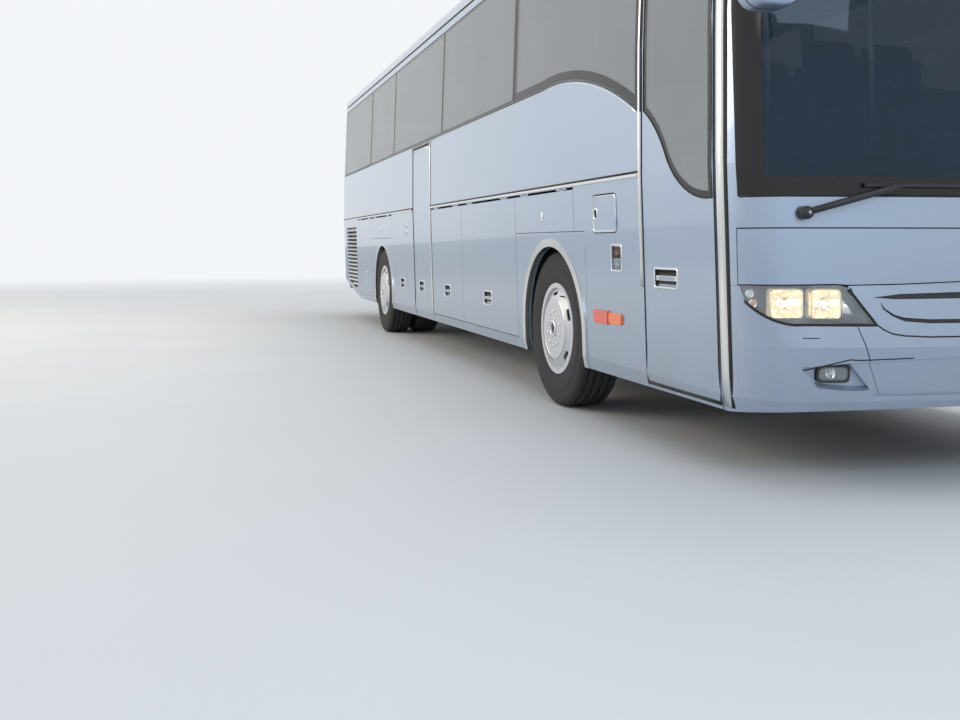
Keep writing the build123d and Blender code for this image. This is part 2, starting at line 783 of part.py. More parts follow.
screen_region = polygon_xz([(mask_x + x, max(z, screen_bottom_z)) for x, z in pillar_line[1:]]
                           + [(far, screen_top_z), (far, screen_bottom_z)], -far, far)
screen_inner = polygon_xz([(mask_x + x + frit_overlap, z) for x, z in (
    (pillar_line[1][0], screen_bottom_z + frit_overlap), pillar_line[2],
    (pillar_line[3][0], screen_top_z - frit_overlap))]
    + [(far, screen_top_z - frit_overlap), (far, screen_bottom_z + frit_overlap)], -far, far)
windscreen = nose_skin & screen_region
bumper_region = across_front(bumper_top, 0)
mask = (front_end - bumper_region) + (front_posts & block(-far, far, -far, far, lamp_top_z, far))
bumper = (front_end & bumper_region) + (front_posts & block(-far, far, -far, far, 0, lamp_top_z))
mask = (mask - windscreen) - screen_inner
headlamps = [front_end & lamp_prism, front_end & opposite(lamp_prism)]
mask = mask - lamp_prism - opposite(lamp_prism)
bumper = bumper - lamp_prism - opposite(lamp_prism)

# The service flap spans from corner to corner: a skin with a stiff core in its middle
flap_region = across_front(flap_bottom, flap_top_front_z) & block(mask_x + flap_side, far, -far, far,
                                                                  0, far)
lowered = [(y, z - seam) for y, z in flap_bottom]
flap_hole = across_front(lowered, flap_top_front_z + top_seam) & block(
    mask_x + flap_side - seam, far, -far, far, 0, far)
service_flap = nose_skin & flap_region
service_flap += (outer_nose - deep_nose) & flap_region & block(
    0, far, -flap_core_half, flap_core_half, 0, far)
mask -= flap_hole
over_lamp = block(mask_x + flap_side - seam, far, -far, lamp_corner[0], 0, lamp_top_z + 8)
mask -= over_lamp + opposite(over_lamp)

# Its two link arms hang on a cross shaft behind the mask and hold it upright as it swings
link_length = 180
link_radius = 9
link_shaft_radius = 10
link_eye_radius = 14
link_eye_half = 10
link_lug = 14
link_y = 300
link_pivot_z = 1128
link_x = nose_x - 145
hanger_y = 332
hanger_sheet = 16
hanger_top_z = 1200
links = rod((link_x, -hanger_y - hanger_sheet - 4, link_pivot_z),
            (link_x, hanger_y + hanger_sheet + 4, link_pivot_z), link_shaft_radius)
lug_z = link_pivot_z - link_length
for side in (-1, 1):
    y = side * link_y
    links += rod((link_x, y, link_pivot_z), (link_x, y, lug_z), link_radius)
    links += rod((link_x, y - link_eye_half, lug_z), (link_x, y + link_eye_half, lug_z),
                 link_eye_radius)
    for end in (-1, 1):
        a = y + end * (link_eye_half + knuckle_gap)
        b = a + end * link_lug
        service_flap += rod((link_x, min(a, b), lug_z), (link_x, max(a, b), lug_z), link_eye_radius)
        service_flap += block(link_x, nose_x - 65, a, b, lug_z - 10, lug_z + 10)
    a = side * hanger_y
    b = side * (hanger_y + hanger_sheet)
    mask += block(link_x - 18, link_x + 18, a, b, link_pivot_z - 16, hanger_top_z)
    mask += block(link_x - 18, nose_x - 72, a, b, hanger_top_z - 26, hanger_top_z)
mask -= rod((link_x, -hanger_y - 40, link_pivot_z), (link_x, hanger_y + 40, link_pivot_z),
            link_shaft_radius + running_fit)

# Bumper: the panel between the lamps with its two slots, the intake and the fog lamp pockets
slots = both_sides(*upper_slot) + both_sides(*lower_slot)
grille = (glass_nose - inner_nose) & slots
panel_groove = strip_outline(panel_line, groove)
panel_groove += opposite(panel_groove) + block(mask_x, nose_x + 50, -485, 485, 682 - groove / 2,
                                               682 + groove / 2)
corner_groove = block(mask_x - 50, mask_x + 140, -far, -1200, lamp_top_z - groove / 2,
                      lamp_top_z + groove / 2)
slant = strip_outline(slant_line, groove)
fog_lamp = front_profile([
    Line((-952, 485), (-851, 485)), ThreePointArc((-851, 485), (-837, 491), (-831, 505)),
    Line((-831, 505), (-831, 540)), ThreePointArc((-831, 540), (-837, 554), (-851, 560)),
    Line((-851, 560), (-952, 560)), ThreePointArc((-952, 560), (-966, 554), (-972, 540)),
    Line((-972, 540), (-972, 505)), ThreePointArc((-972, 505), (-966, 491), (-952, 485))])
pocket_plane = Plane((nose_x - pocket_from_nose, 0, 0), x_dir=(0, 1, 0), z_dir=(1, 0, 0))
pocket_face = pocket_plane * make_face(Polyline(*pocket_outline, close=True))
inward = Vector(-1, 0, pocket_rise)
pocket = extrude(pocket_face, 140, dir=inward) + extrude(pocket_face, 140, dir=-inward)
pockets = pocket + opposite(pocket)
fog_lamps = fog_lamp + opposite(fog_lamp)
bumper -= slots
bumper -= nose_skin & (panel_groove + corner_groove + opposite(corner_groove))
bumper -= (outer_nose - shallow_nose) & polygon_yz(intake_outline, mask_x, nose_x + 100)
bumper -= (outer_nose - lamp_nose) & (slant + opposite(slant))
bumper -= (outer_nose - deep_nose) & pockets
bumper -= fog_lamps
for solid in ((lamp_nose - inner_nose) & fog_lamps).solids():
    headlamps.append(solid)


# The strips beside the flap are panels of their own, which end at the height of its top seam
beside_flap = block(-far, far, -far, -corner_strip_y, 0, flap_top_front_z + top_seam)
beside_flap += opposite(beside_flap)
nodes["front_mask"] = [*(mask - beside_flap).solids(), *(mask & beside_flap).solids()]
nodes["windscreen"] = windscreen
nodes["service_flap"] = service_flap
nodes["service_flap_links"] = links
nodes["headlamps"] = headlamps
nodes["front_grille"] = grille

# Rear: window, engine lid, lamps and bumper
rear_window_half = 980
rear_window_bottom_z = 2180
rear_window_top_z = 3080
lid_half = 1000
lid_bottom_z = 780
lid_top_z = 1780
rear_bumper_top_z = 760
tail_lamp_y = (-1190, -1060)
tail_lamp_z = (900, 1500)
tail_lamp_radius = 20


def tail_cutter(y0, y1, z0, z1, radius=0):
    """A prism along X through the tail over a rounded rectangle."""
    outline = Rectangle(y1 - y0, z1 - z0)
    if radius:
        outline = RectangleRounded(y1 - y0, z1 - z0, radius)
    plane = Plane((tail_x - 200, (y0 + y1) / 2, (z0 + z1) / 2), x_dir=(0, 1, 0), z_dir=(1, 0, 0))
    return extrude(plane * outline, tail_panel_depth + 150)


rear_pane = tail_cutter(-rear_window_half, rear_window_half, rear_window_bottom_z,
                        rear_window_top_z, 90)
rear_glass = tail_skin & rear_pane
tail_end -= rear_glass
tail_end -= tail_cutter(frit_overlap - rear_window_half, rear_window_half - frit_overlap,
                        rear_window_bottom_z + frit_overlap, rear_window_top_z - frit_overlap, 70)
rear_bumper = tail_end & block(-far, far, -far, far, 0, rear_bumper_top_z)
rear_wall = tail_end & block(-far, far, -far, far, rear_bumper_top_z, far)
engine_lid = rear_wall & tail_cutter(-lid_half, lid_half, lid_bottom_z, lid_top_z, 12)
rear_wall -= tail_cutter(-lid_half - seam, lid_half + seam, lid_bottom_z - seam, lid_top_z + 16, 12)
lid_hinge_z = lid_top_z + 8
lid_hinge_x = tail_x + tail_lean(lid_hinge_z) + hinge_radius
for y in (-620, 620):
    engine_lid += rod((lid_hinge_x, y - 40, lid_hinge_z), (lid_hinge_x, y + 40, lid_hinge_z),
                      hinge_radius)
    engine_lid += block(lid_hinge_x - 4, lid_hinge_x + 4, y - 40, y + 40, lid_top_z - 3, lid_hinge_z)
    for side in (-1, 1):
        a = y + side * (40 + knuckle_gap)
        b = a + side * 40
        rear_wall += rod((lid_hinge_x, min(a, b), lid_hinge_z), (lid_hinge_x, max(a, b), lid_hinge_z),
                         hinge_radius)
        rear_wall += block(lid_hinge_x - 4, lid_hinge_x + 4, a, b, lid_hinge_z, lid_hinge_z + 10)
tail_lamp = tail_cutter(*tail_lamp_y, *tail_lamp_z, tail_lamp_radius)
tail_lamps = [rear_wall & tail_lamp, rear_wall & opposite(tail_lamp)]
rear_wall = rear_wall - tail_lamp - opposite(tail_lamp)

nodes["rear_wall"] = rear_wall
nodes["engine_lid"] = engine_lid
nodes["tail_lamps"] = tail_lamps + markers
nodes["saloon_windows"] = side_glass + [rear_glass]

# Plug doors: a leaf held parallel on a post that carries a cranked arm
leaf_lug = 24
post_radius = 22
arm_radius = 16
arm_heights_front = (1040, 1900)
arm_heights_mid = (760, 1800)
crank_open = (30, -180)
door_glass_margin = 30
front_door_handle = (1732, 914, 260, 100)
mid_door_handle = (-3932, handle_z, 220, 112)


def turned(point, degrees):
    """A plan point turned about the origin."""
    a = math.radians(degrees)
    return (point[0] * math.cos(a) - point[1] * math.sin(a),
            point[0] * math.sin(a) + point[1] * math.cos(a))


def door_set(x_rear, x_front, top_z, heights, opens_ahead):
    """A leaf on the right side and the post with its arms."""
    gap_rear, gap_front = (door_gap, door_lead_gap) if opens_ahead else (door_lead_gap, door_gap)
    leaf = side_panel(x_rear + gap_rear, x_front - gap_front, sill_z, top_z - door_gap)
    ahead = 1 if opens_ahead else -1
    edge = x_front if opens_ahead else x_rear
    post = (edge - ahead * door_post_inset, -door_post_y)
    pin = (edge - ahead * door_pin_inset, -door_pin_y)
    crank = turned((ahead * crank_open[0], crank_open[1]), -ahead * door_swing)
    crank = (post[0] + crank[0], post[1] + crank[1])
    foot_z = sill_crease_z + 20
    head_z = top_z - 60
    carrier = rod((*post, foot_z), (*post, head_z), post_radius)
    for z in heights:
        carrier += rod((*post, z), (*crank, z), arm_radius)
        carrier += Pos(*crank, z) * Sphere(arm_radius)
        carrier += rod((*crank, z), (*pin, z), arm_radius)
        carrier += rod((*pin, z - 20), (*pin, z + 20), arm_radius + 4)
        for side in (-1, 1):
            a = z + side * (20 + knuckle_gap)
            b = a + side * leaf_lug
            inner_y = -half_width(z) + wall
            leaf += rod((*pin, min(a, b)), (*pin, max(a, b)), arm_radius + 4)
            leaf += block(pin[0] - 18, pin[0] + 18, inner_y - 12, pin[1], a, b)
    return leaf, carrier


front_leaf, front_arm = door_set(
    at(front_door_rear), at(front_door_front), front_door_top, arm_heights_front, True)
mid_leaf, mid_arm = door_set(
    at(mid_door_rear), at(mid_door_front), mid_door_top, arm_heights_mid, False)
door_glass_ends = (door_glass_rear + door_glass_margin,
                   front_door_front - door_gap - door_glass_margin)
door_pane = side_profile(wave_glass(*door_glass_ends, 0))
door_glass = skin & door_pane
front_leaf = add_handle(front_leaf, *front_door_handle)
mid_leaf = add_handle(mid_leaf, *mid_door_handle)
front_leaf -= door_glass
front_leaf -= side_profile(wave_glass(*door_glass_ends, frit_overlap - 10))
nodes["front_door"] = front_leaf
nodes["front_door_glass"] = door_glass
nodes["front_door_arm"] = front_arm
nodes["mid_door"] = mid_leaf
nodes["mid_door_arm"] = mid_arm

# Rub rails along the waist
rail_bottom_z = hinge_z + 12
rail_height = 20
rail_depth = 12
rails = []
for x0, x1 in ((tail_panel_x, at(mid_door_rear)), (at(mid_door_front), at(front_door_rear) - 30)):
    y = half_width(rail_bottom_z)
    rails.append(block(x0, x1, -y - rail_depth, -y, rail_bottom_z, rail_bottom_z + rail_height))
rails.append(block(tail_panel_x, mask_x, half_width(rail_bottom_z),
                   half_width(rail_bottom_z) + rail_depth, rail_bottom_z,
                   rail_bottom_z + rail_height))
nodes["rub_rails"] = rails + arch_lips

# Floors, steps and luggage hold
saloon_front = at(1250)
saloon_rear = tail_x + wall
floor = cabin & block(saloon_rear - 50, saloon_front, -far, far, floor_z - floor_sheet, floor_z)
mid_well = block(at(mid_door_rear), at(mid_door_front), -far, -450, 0, floor_z + 5)
floor -= mid_well
cab_floor = cabin & block(saloon_front, mask_x + 120, -380, far, cab_floor_z - 30, cab_floor_z)
riser = cabin & block(saloon_front - 30, saloon_front, -far, far, cab_floor_z - 30,
                      floor_z - floor_sheet)


def stairs(x0, x1, outer_y, step_ys, step_zs, sheet):
    """A stair of folded sheet between two planes, rising to the left."""
    top = [(outer_y, step_zs[0])]
    for y, z_low, z_high in zip(step_ys, step_zs, step_zs[1:]):
        top += [(y, z_low), (y, z_high)]
    top.append((step_ys[-1] + 60, step_zs[-1]))
    under = [(y + sheet, z - sheet) for y, z in top]
    under[0] = (outer_y, step_zs[0] - sheet)
    under[-1] = (top[-1][0], top[-1][1] - sheet)
    return polygon_yz(top + under[::-1], x0, x1)


stair_sheet = 25
front_stairs = stairs(at(front_door_rear), at(front_door_front), -1170, (-900, -700, -500),
                      (420, 600, 780, cab_floor_z - 30), stair_sheet)
mid_stairs = stairs(at(mid_door_rear), at(mid_door_front), -1170, (-960, -790, -620, -510),
                    (420, 655, 890, 1125, floor_z - floor_sheet), stair_sheet)
nodes["saloon_floor"] = floor + (cab_floor + riser) + front_stairs + mid_stairs

hold_floor = cabin & block(at(hold_rear), at(hold_front), -far, far, hold_floor_z - hold_sheet,
                           hold_floor_z)
hold_floor -= block(at(mid_door_rear) - hold_sheet, at(mid_door_front) + hold_sheet, -far, -420, 0, far)
hold = hold_floor
for x in (at(hold_front), at(hold_rear) + hold_sheet):
    hold += cabin & block(x - hold_sheet, x, -far, far, hold_floor_z - hold_sheet,
                          floor_z - floor_sheet)
nodes["luggage_hold"] = hold

# Wheel housings
housings = []
for x in (front_arch_x, rear_arch_x):
    for side in (-1, 1):
        y_in = side * housing_inner_y
        arc = rod((x, y_in, axle_z), (x, side * 1400, axle_z), housing_radius)
        bore = rod((x, y_in + side * housing_sheet, axle_z), (x, side * 1500, axle_z),
                   housing_radius - housing_sheet)
        shape = (arc - bore) & block(x - far, x + far, -far, far, axle_z - 60, far)
        shape -= block(x - 290, x + 290, y_in - 50, y_in + 50, 0, axle_z + 150)
        housings.append(shape & cabin)
nodes["wheel_housings"] = housings

# Frame rails, engine with gearbox and propeller shaft
rail_y = 420
rail_half = 35
front_rail_z = (700, 880)
rear_rail_z = (900, 1080)
front_beam_z = (440, 560)
rear_beam_z = (610, 740)
beam_depth = 60
beam_half = 600
cross_member_half = 40
front_beam_x = nose_x - 185
rear_beam_x = tail_x + 150
frame = []
for y in (-rail_y, rail_y):
    sides = (y - rail_half, y + rail_half)
    frame.append(block(at(hold_front), front_beam_x, *sides, *front_rail_z))
    frame.append(block(rear_beam_x, at(hold_rear), *sides, *rear_rail_z))
    frame.append(block(front_beam_x - beam_depth, front_beam_x, *sides, front_beam_z[0],
                       front_rail_z[0]))
    frame.append(block(rear_beam_x, rear_beam_x + beam_depth, *sides, rear_beam_z[0],
                       rear_rail_z[0]))
frame.append(block(front_beam_x - beam_depth, front_beam_x, -beam_half, beam_half, *front_beam_z))
frame.append(block(rear_beam_x, rear_beam_x + beam_depth, -beam_half, beam_half, *rear_beam_z))
member_y = rail_y - rail_half
for x in (-600, 700, 1300, 2300):
    frame.append(block(at(x) - cross_member_half, at(x) + cross_member_half, -member_y, member_y,
                       front_rail_z[0] + 40, front_rail_z[1] - 40))
for x in (-5100, -6900):
    frame.append(block(at(x) - cross_member_half, at(x) + cross_member_half, -member_y, member_y,
                       rear_rail_z[0] + 40, rear_rail_z[1] - 40))
outrigger = cabin & block(at(-5140), at(-5060), -far, far, 940, 1040)
frame.append(outrigger)
chassis = frame[0]
for solid in frame[1:]:
    chassis += solid
nodes["chassis_frame"] = chassis

# Sockets for the towing eye, screwed on behind holes in both bumpers
tow_bore = 18
tow_sleeve = 32
tow_y = 520
tow_front_z = 500
tow_rear_z = 675
tow_front_mouth = nose_x - 80
tow_rear_mouth = tail_x + 25
tow_sockets = []
for mouth, back, y, z in ((tow_front_mouth, front_beam_x, tow_y, tow_front_z),
                          (tow_rear_mouth, rear_beam_x, -tow_y, tow_rear_z)):
    depth = 90 if mouth > back else -90
    socket = rod((back, y, z), (mouth, y, z), tow_sleeve)
    socket -= rod((mouth - depth, y, z), (mouth + depth, y, z), tow_bore)
    tow_sockets.append(socket)
nodes["tow_sockets"] = tow_sockets
bumper -= rod((front_beam_x, tow_y, tow_front_z), (nose_x + 50, tow_y, tow_front_z), tow_sleeve + 4)
rear_bumper -= rod((tail_x - 50, -tow_y, tow_rear_z), (rear_beam_x, -tow_y, tow_rear_z), tow_sleeve + 4)
nodes["front_bumper"] = bumper
nodes["rear_bumper"] = rear_bumper

engine_front = at(-7700)
gearbox_front = at(-7000)
crank_z = 700
engine = block(tail_x + 300, engine_front, 40 - rail_y, rail_y - 40, 560, 1290)
engine += rod((engine_front, 0, crank_z), (gearbox_front, 0, crank_z), 210)
engine += rod((gearbox_front, 0, crank_z), (drive_flange_x - 10, 0, drive_flange_z + 5), 55)
for x in (tail_x + 500, at(-7900)):
    engine += block(x - 60, x + 60, -member_y, member_y, 930, 1010)
nodes["engine"] = engine

# Front axle: a dropped beam with kingpin eyes
spring_y = 385
spring_radius = 85
beam_z = axle_z - 60
neck_outer = 90
neck_inner = 132
neck_half = 25
beam = block(front_axle_x - 50, front_axle_x + 50, neck_inner - kingpin_y, kingpin_y - neck_inner,
             beam_z - 50, beam_z + 50)
kingpin_radius = 25
eye_radius = 48
for side in (-1, 1):
    y = side * kingpin_y
    beam += block(front_axle_x - neck_half, front_axle_x + neck_half, y - side * neck_inner, y,
                  axle_z - 45, axle_z + 45)
    beam += rod((front_axle_x, y, axle_z - 45), (front_axle_x, y, axle_z + 45), eye_radius)
    beam += block(front_axle_x - neck_half, front_axle_x + neck_half, y - side * (neck_inner + 10),
                  y - side * neck_outer, beam_z - 50, axle_z + 45)
    beam += rod((front_axle_x, side * spring_y, beam_z + 50), (front_axle_x, side * spring_y, 700),
                spring_radius)
for side in (-1, 1):
    y = side * kingpin_y
    beam -= rod((front_axle_x, y, 0), (front_axle_x, y, 1000), kingpin_radius + running_fit)
nodes["front_axle"] = beam

arm_ball = (-210, -70)
ball_radius = 22
spindle_reach = 60


def make_knuckle(side):
    """A steering knuckle: fork round the beam's eye, spindle and steering arm."""
    y = side * kingpin_y
    x = front_axle_x
    part = rod((x, y, axle_z - 85), (x, y, axle_z + 85), kingpin_radius)
    for z0, z1 in ((axle_z + 45.5, axle_z + 85), (axle_z - 85, axle_z - 45.5)):
        part += rod((x, y, z0), (x, y, z1), eye_radius)
        part += block(x - 40, x + 40, y, y + side * 75, z0, z1)
    part += block(x - 45, x + 45, y + side * (eye_radius + 6), y + side * 90, axle_z - 85, axle_z + 85)
    part += rod((x, y + side * 80, axle_z), (x, side * (track_front / 2 + spindle_reach), axle_z),
                spindle_radius)
    part += rod((x, y, axle_z - 70), (x + arm_ball[0], y + side * arm_ball[1], axle_z - 70), 20)
    ball = (x + arm_ball[0], y + side * arm_ball[1])
    part += rod((*ball, axle_z - 95), (*ball, axle_z - 50), ball_radius)
    return part


nodes["knuckle_right"] = make_knuckle(-1)
nodes["knuckle_left"] = make_knuckle(1)
tie_y = kingpin_y + arm_ball[1]
tie_x = front_axle_x + arm_ball[0]
tie_z = axle_z - 115
tie_radius = 16
tie = rod((tie_x, -tie_y, tie_z), (tie_x, tie_y, tie_z), tie_radius)
for side in (-1, 1):
    tie += rod((tie_x, side * tie_y, tie_z - 19), (tie_x, side * tie_y, tie_z + 19.7), ball_radius)
nodes["tie_rod"] = tie

# Rear axle: a tube with its final drive and the spring seats under the frame
axle_tube = 70
rear_spindle = 60
axle_tube_end = twin_outer_y - twin_spacing + 75
rear_axle = rod((rear_axle_x, -axle_tube_end, axle_z), (rear_axle_x, axle_tube_end, axle_z), axle_tube)
rear_axle += Pos(rear_axle_x, 0, axle_z) * Sphere(final_drive_radius)
rear_axle += rod((rear_axle_x, 0, axle_z), (drive_flange_x, 0, drive_flange_z), axle_tube)
for side in (-1, 1):
    rear_axle += rod((rear_axle_x, side * (axle_tube_end - 10), axle_z),
                     (rear_axle_x, side * (twin_outer_y + spindle_reach), axle_z), rear_spindle)
    rear_axle += rod((rear_axle_x, side * spring_y, axle_z), (rear_axle_x, side * spring_y, 900),
                     spring_radius)
    rear_axle += block(rear_axle_x - 60, rear_axle_x + 60, side * 540, side * 660,
                       axle_z - axle_tube - 18, axle_z)
nodes["rear_axle"] = rear_axle


# Wheels
def ring(points):
    """A closed profile of radius and Y, turned about the Y axis."""
    face = make_face(Polyline(*[(r, y) for r, y in points], close=True))
    return revolve(face, Axis.Y)


def tyre_solid():
    """A tyre about the origin with rounded shoulders and bulged walls."""
    w = tyre_width / 2
    r = tyre_radius
    bead = rim_radius + 0.3
    seat = w - 22
    edges = [
        Line((bead, -seat), (bead, seat)),
        Line((bead, seat), (flange_radius + 4, seat)),
        ThreePointArc((flange_radius + 4, seat), (r * 0.79, w), (r - 42, w - 9)),
        ThreePointArc((r - 42, w - 9), (r - 13, w - 22), (r, w - 50)),
        Line((r, w - 50), (r, 50 - w)),
        ThreePointArc((r, 50 - w), (r - 13, 22 - w), (r - 42, 9 - w)),
        ThreePointArc((r - 42, 9 - w), (r * 0.79, -w), (flange_radius + 4, -seat)),
        Line((flange_radius + 4, -seat), (bead, -seat)),
    ]
    return revolve(Face(Wire(edges)), Axis.Y)


def rim_solid(disc_y, hub_radius, hub_from, hub_to, bore):
    """A wheel about the origin: barrel with flanges, a disc with hand holes, and its hub."""
    w = tyre_width / 2 - 22
    barrel = ring([(flange_radius, -w - 9), (flange_radius, -w), (rim_radius, -w), (rim_radius, w),
                   (flange_radius, w), (flange_radius, w + 9), (rim_radius - rim_plate, w + 9),
                   (rim_radius - rim_plate, -w - 9)])
    disc = ring([(bore, disc_y - 6), (bore, disc_y + 6), (rim_radius - 3, disc_y + 6),
                 (rim_radius - 3, disc_y - 6)])
    hub = ring([(bore, hub_from), (bore, hub_to), (hub_radius, hub_to), (hub_radius, hub_from)])
    wheel = barrel + disc + hub
    for step in range(10):
        a = math.radians(36 * step)
        hole = (215 * math.cos(a), 215 * math.sin(a))
        wheel -= rod((hole[0], disc_y - 20, hole[1]), (hole[0], disc_y + 20, hole[1]), 28)
    return wheel


tyre = tyre_solid()
front_rim = rim_solid(60, 130, -60, 110, spindle_radius + running_fit)
cover_sheet = 7
cover_line = ((276, 104), (268, 112), (198, 150), (60, 156), (56, 164), (38, 164), (34, 150))
cover_slots = (98, 26, -46, -118, 170)
slot_radius = 234
slot_length = 84
slot_height = 24


def wheel_cover():
    """A domed cover about the origin: its rim seats on the wheel's flange, with five slots."""
    outside = list(cover_line) + [(0, cover_line[-1][1])]
    inside = [(0, cover_line[-1][1] - cover_sheet)]
    inside += [(r - 2, y - cover_sheet) for r, y in cover_line[1:][::-1] if r > 56 or r < 38]
    inside.append((cover_line[0][0], cover_line[0][1] - cover_sheet))
    cover = ring(outside + inside)
    for turn in cover_slots:
        slot = Rot(0, -turn, 0) * Pos(slot_radius, 130, 0) * Box(slot_height, 80, slot_length)
        slot = fillet(slot.edges().filter_by(Axis.Y), slot_height / 2 - 1)
        cover -= slot
    return cover


front_cap = wheel_cover()
front_wheel_y = track_front / 2
for side, name in ((-1, "right"), (1, "left")):
    place = Pos(front_axle_x, side * front_wheel_y, axle_z)
    rim = front_rim + front_cap
    rim = rim if side > 0 else mirror(rim, Plane.XZ)
    nodes["front_tyre_" + name] = place * tyre
    nodes["front_rim_" + name] = place * rim
    pair = []
    tyres = []
    outer_rim = rim_solid(-100, 150, -140, -60, rear_spindle + running_fit)
    outer_rim += rod((0, -60, 0), (0, 90, 0), 110) - rod((0, -70, 0), (0, 70, 0), rear_spindle + 5)
    outer_rim += front_cap
    inner_rim = rim_solid(100, 150, 80, twin_spacing - 140, rear_spindle + running_fit)
    for rim, y in ((outer_rim, twin_outer_y), (inner_rim, twin_outer_y - twin_spacing)):
        rim = rim if side > 0 else mirror(rim, Plane.XZ)
        pair.append(Pos(rear_axle_x, side * y, axle_z) * rim)
        tyres.append(Pos(rear_axle_x, side * y, axle_z) * tyre)
    nodes["rear_tyres_" + name] = tyres
    nodes["rear_rims_" + name] = pair[0] + pair[1]

# Mirrors hang ahead of the screen from arms on the roof corners
mirror_outer_y = 1420
mirror_x = nose_x + mirror_lead - 75
arm_root = (at(2290), 1110, 3180)
mirror_depth = 150
mirror_rounding = 34
mirror_width = 230
mirror_height = 622
mirror_corner = 80
mirror_z = 2369
mirrors = []
for side in (-1, 1):
    plane = Plane((mirror_x - mirror_depth / 2, 0, 0), x_dir=(0, 1, 0), z_dir=(1, 0, 0))
    outline = plane * Pos(mirror_width / 2 - mirror_outer_y, mirror_z) * RectangleRounded(
        mirror_width, mirror_height, mirror_corner)
    head = extrude(outline, mirror_depth)
    head = fillet(head.faces().sort_by(Axis.X)[-1].edges(), mirror_rounding)
    head = head if side < 0 else opposite(head)
    arm = rod((mirror_x, side * (mirror_outer_y - 115), 2650),
              (mirror_x - 20, side * (mirror_outer_y - 115), 3060), 22)
    arm += Pos(mirror_x - 20, side * (mirror_outer_y - 115), 3060) * Sphere(22)
    arm += rod((mirror_x - 20, side * (mirror_outer_y - 115), 3060),
               (arm_root[0], side * arm_root[1], arm_root[2]), 22)
    mirrors.append((head + arm) - outer_nose - outer_middle)
nodes["mirrors"] = mirrors

# Wipers: each arm runs from its spindle to a knee, where it holds a blade bent to the screen
wiper_spindle = (1030, 1225)
wiper_knee = (605, 1346)
blade_tip_y = 763
blade_length = 880
blade_height = 14
screen_foot_setback = 48
screen_bow = upper_nose[0][2]
screen_axis = Axis((nose_x - screen_foot_setback - screen_bow, 0, 0), (0, 0, 1))
wipers = []
for side, lift in ((-1, 0), (1, 38)):
    spindle_y, spindle_z = wiper_spindle
    drop = screen_bow - math.sqrt(screen_bow ** 2 - spindle_y ** 2)
    foot_x = nose_x - screen_foot_setback - drop
    drop = screen_bow - math.sqrt(screen_bow ** 2 - wiper_knee[0] ** 2)
    knee_x = nose_x - screen_foot_setback - drop + 30
    blade_z = wiper_knee[1] + lift
    spindle = (foot_x + 42, side * spindle_y, spindle_z)
    knee = (knee_x, side * wiper_knee[0], blade_z)
    wiper = rod((foot_x - 25, side * spindle_y, spindle_z), (foot_x + 50, side * spindle_y, spindle_z), 16)
    wiper += rod(spindle, knee, 8)
    start = -math.degrees(math.asin(blade_tip_y / screen_bow))
    face = make_face(Polyline((screen_bow + 8, blade_z - blade_height / 2),
                              (screen_bow + 24, blade_z - blade_height / 2),
                              (screen_bow + 24, blade_z + blade_height / 2),
                              (screen_bow + 8, blade_z + blade_height / 2), close=True))
    turned_plane = Plane((screen_axis.position.X, 0, 0), x_dir=(1, 0, 0), z_dir=(0, -1, 0))
    blade = revolve(turned_plane * face, screen_axis, math.degrees(blade_length / screen_bow))
    blade = blade.rotate(screen_axis, start)
    if side > 0:
        blade = mirror(blade, Plane.XZ)
    wiper += blade
    wiper += rod(knee, (knee_x - 22, knee[1], knee[2]), 10)
    wipers.append(wiper - outer_nose)
nodes["wipers"] = wipers

# Roof unit of the air conditioning
unit_rear = -3950
unit_front = -1450
unit_half = 880
unit_top_z = 3650
unit = block(at(unit_rear), at(unit_front), -unit_half, unit_half, 3300, unit_top_z)
unit = fillet(unit.edges().filter_by(Axis.Z), 120)
unit = chamfer(unit.faces().sort_by(Axis.Z)[-1].edges(), 60)
nodes["roof_unit"] = unit - outer_middle

# Cab: dashboard, steering column and wheel, driver's seat
dash = cabin & block(mask_x - 60, mask_x + 270, -860, far, cab_floor_z, 1440)
nodes["dashboard"] = dash
column_dir = Vector(-0.35, 0, 1).normalized()
wheel_radius = 230
column = Plane((at(1960), 640, 1540), x_dir=(0, 1, 0), z_dir=tuple(column_dir))
steering = column * (Torus(wheel_radius, 16) + Pos(0, 0, -25) * Cylinder(50, 50))
for turn in (30, 150, 270):
    spoke = Rot(0, 0, turn) * Pos(wheel_radius / 2 + 10, 0, -8) * Box(wheel_radius - 40, 34, 10)
    steering += column * spoke
steering += column * (Pos(0, 0, -190) * Cylinder(32, 300))
shroud_x = column.origin.X + 70
steering += block(shroud_x - 60, mask_x - 30, 590, 690, 1270, 1370)
nodes["steering_wheel"] = steering - dash

# Passenger seats in pairs on both sides of the aisle
seat_pitch = 780
seat_width = 930
seat_profile = [(0, 260), (0, 430), (400, 450), (480, 1080), (580, 1080), (560, 300), (520, 260)]
seats = []


def seat_pair(x_front, y0, y1, z):
    """Two seats side by side: legs under a cushion and back of one profile, facing ahead."""
    points = [(x_front - px, z + pz) for px, pz in seat_profile]
    pair = polygon_xz(points, y0, y1)
    for y in (y0 + 150, y1 - 150):
        pair += block(x_front - 420, x_front - 120, y - 20, y + 20, z, z + 265)
    return pair


seat_rows_right = [1150, 370, -410, -1190, -1970, -2750] + [-4700 - seat_pitch * n for n in range(6)]
seat_rows_left = [1150 - seat_pitch * n for n in range(13)]
for row in seat_rows_right:
    seats.append(seat_pair(at(row), -1190, -1190 + seat_width, floor_z))
for row in seat_rows_left:
    seats.append(seat_pair(at(row), 1190 - seat_width, 1190, floor_z))
nodes["passenger_seats"] = seats
driver = seat_pair(at(1860), 400, 900, cab_floor_z)
nodes["driver_seat"] = driver

# Luggage racks under the roof
rack_z = 2860
racks = []
for side in (-1, 1):
    rack = cabin & block(tail_x + 300, at(900), side * 820, side * 1400, rack_z, rack_z + 45)
    racks.append(rack)
nodes["luggage_racks"] = racks


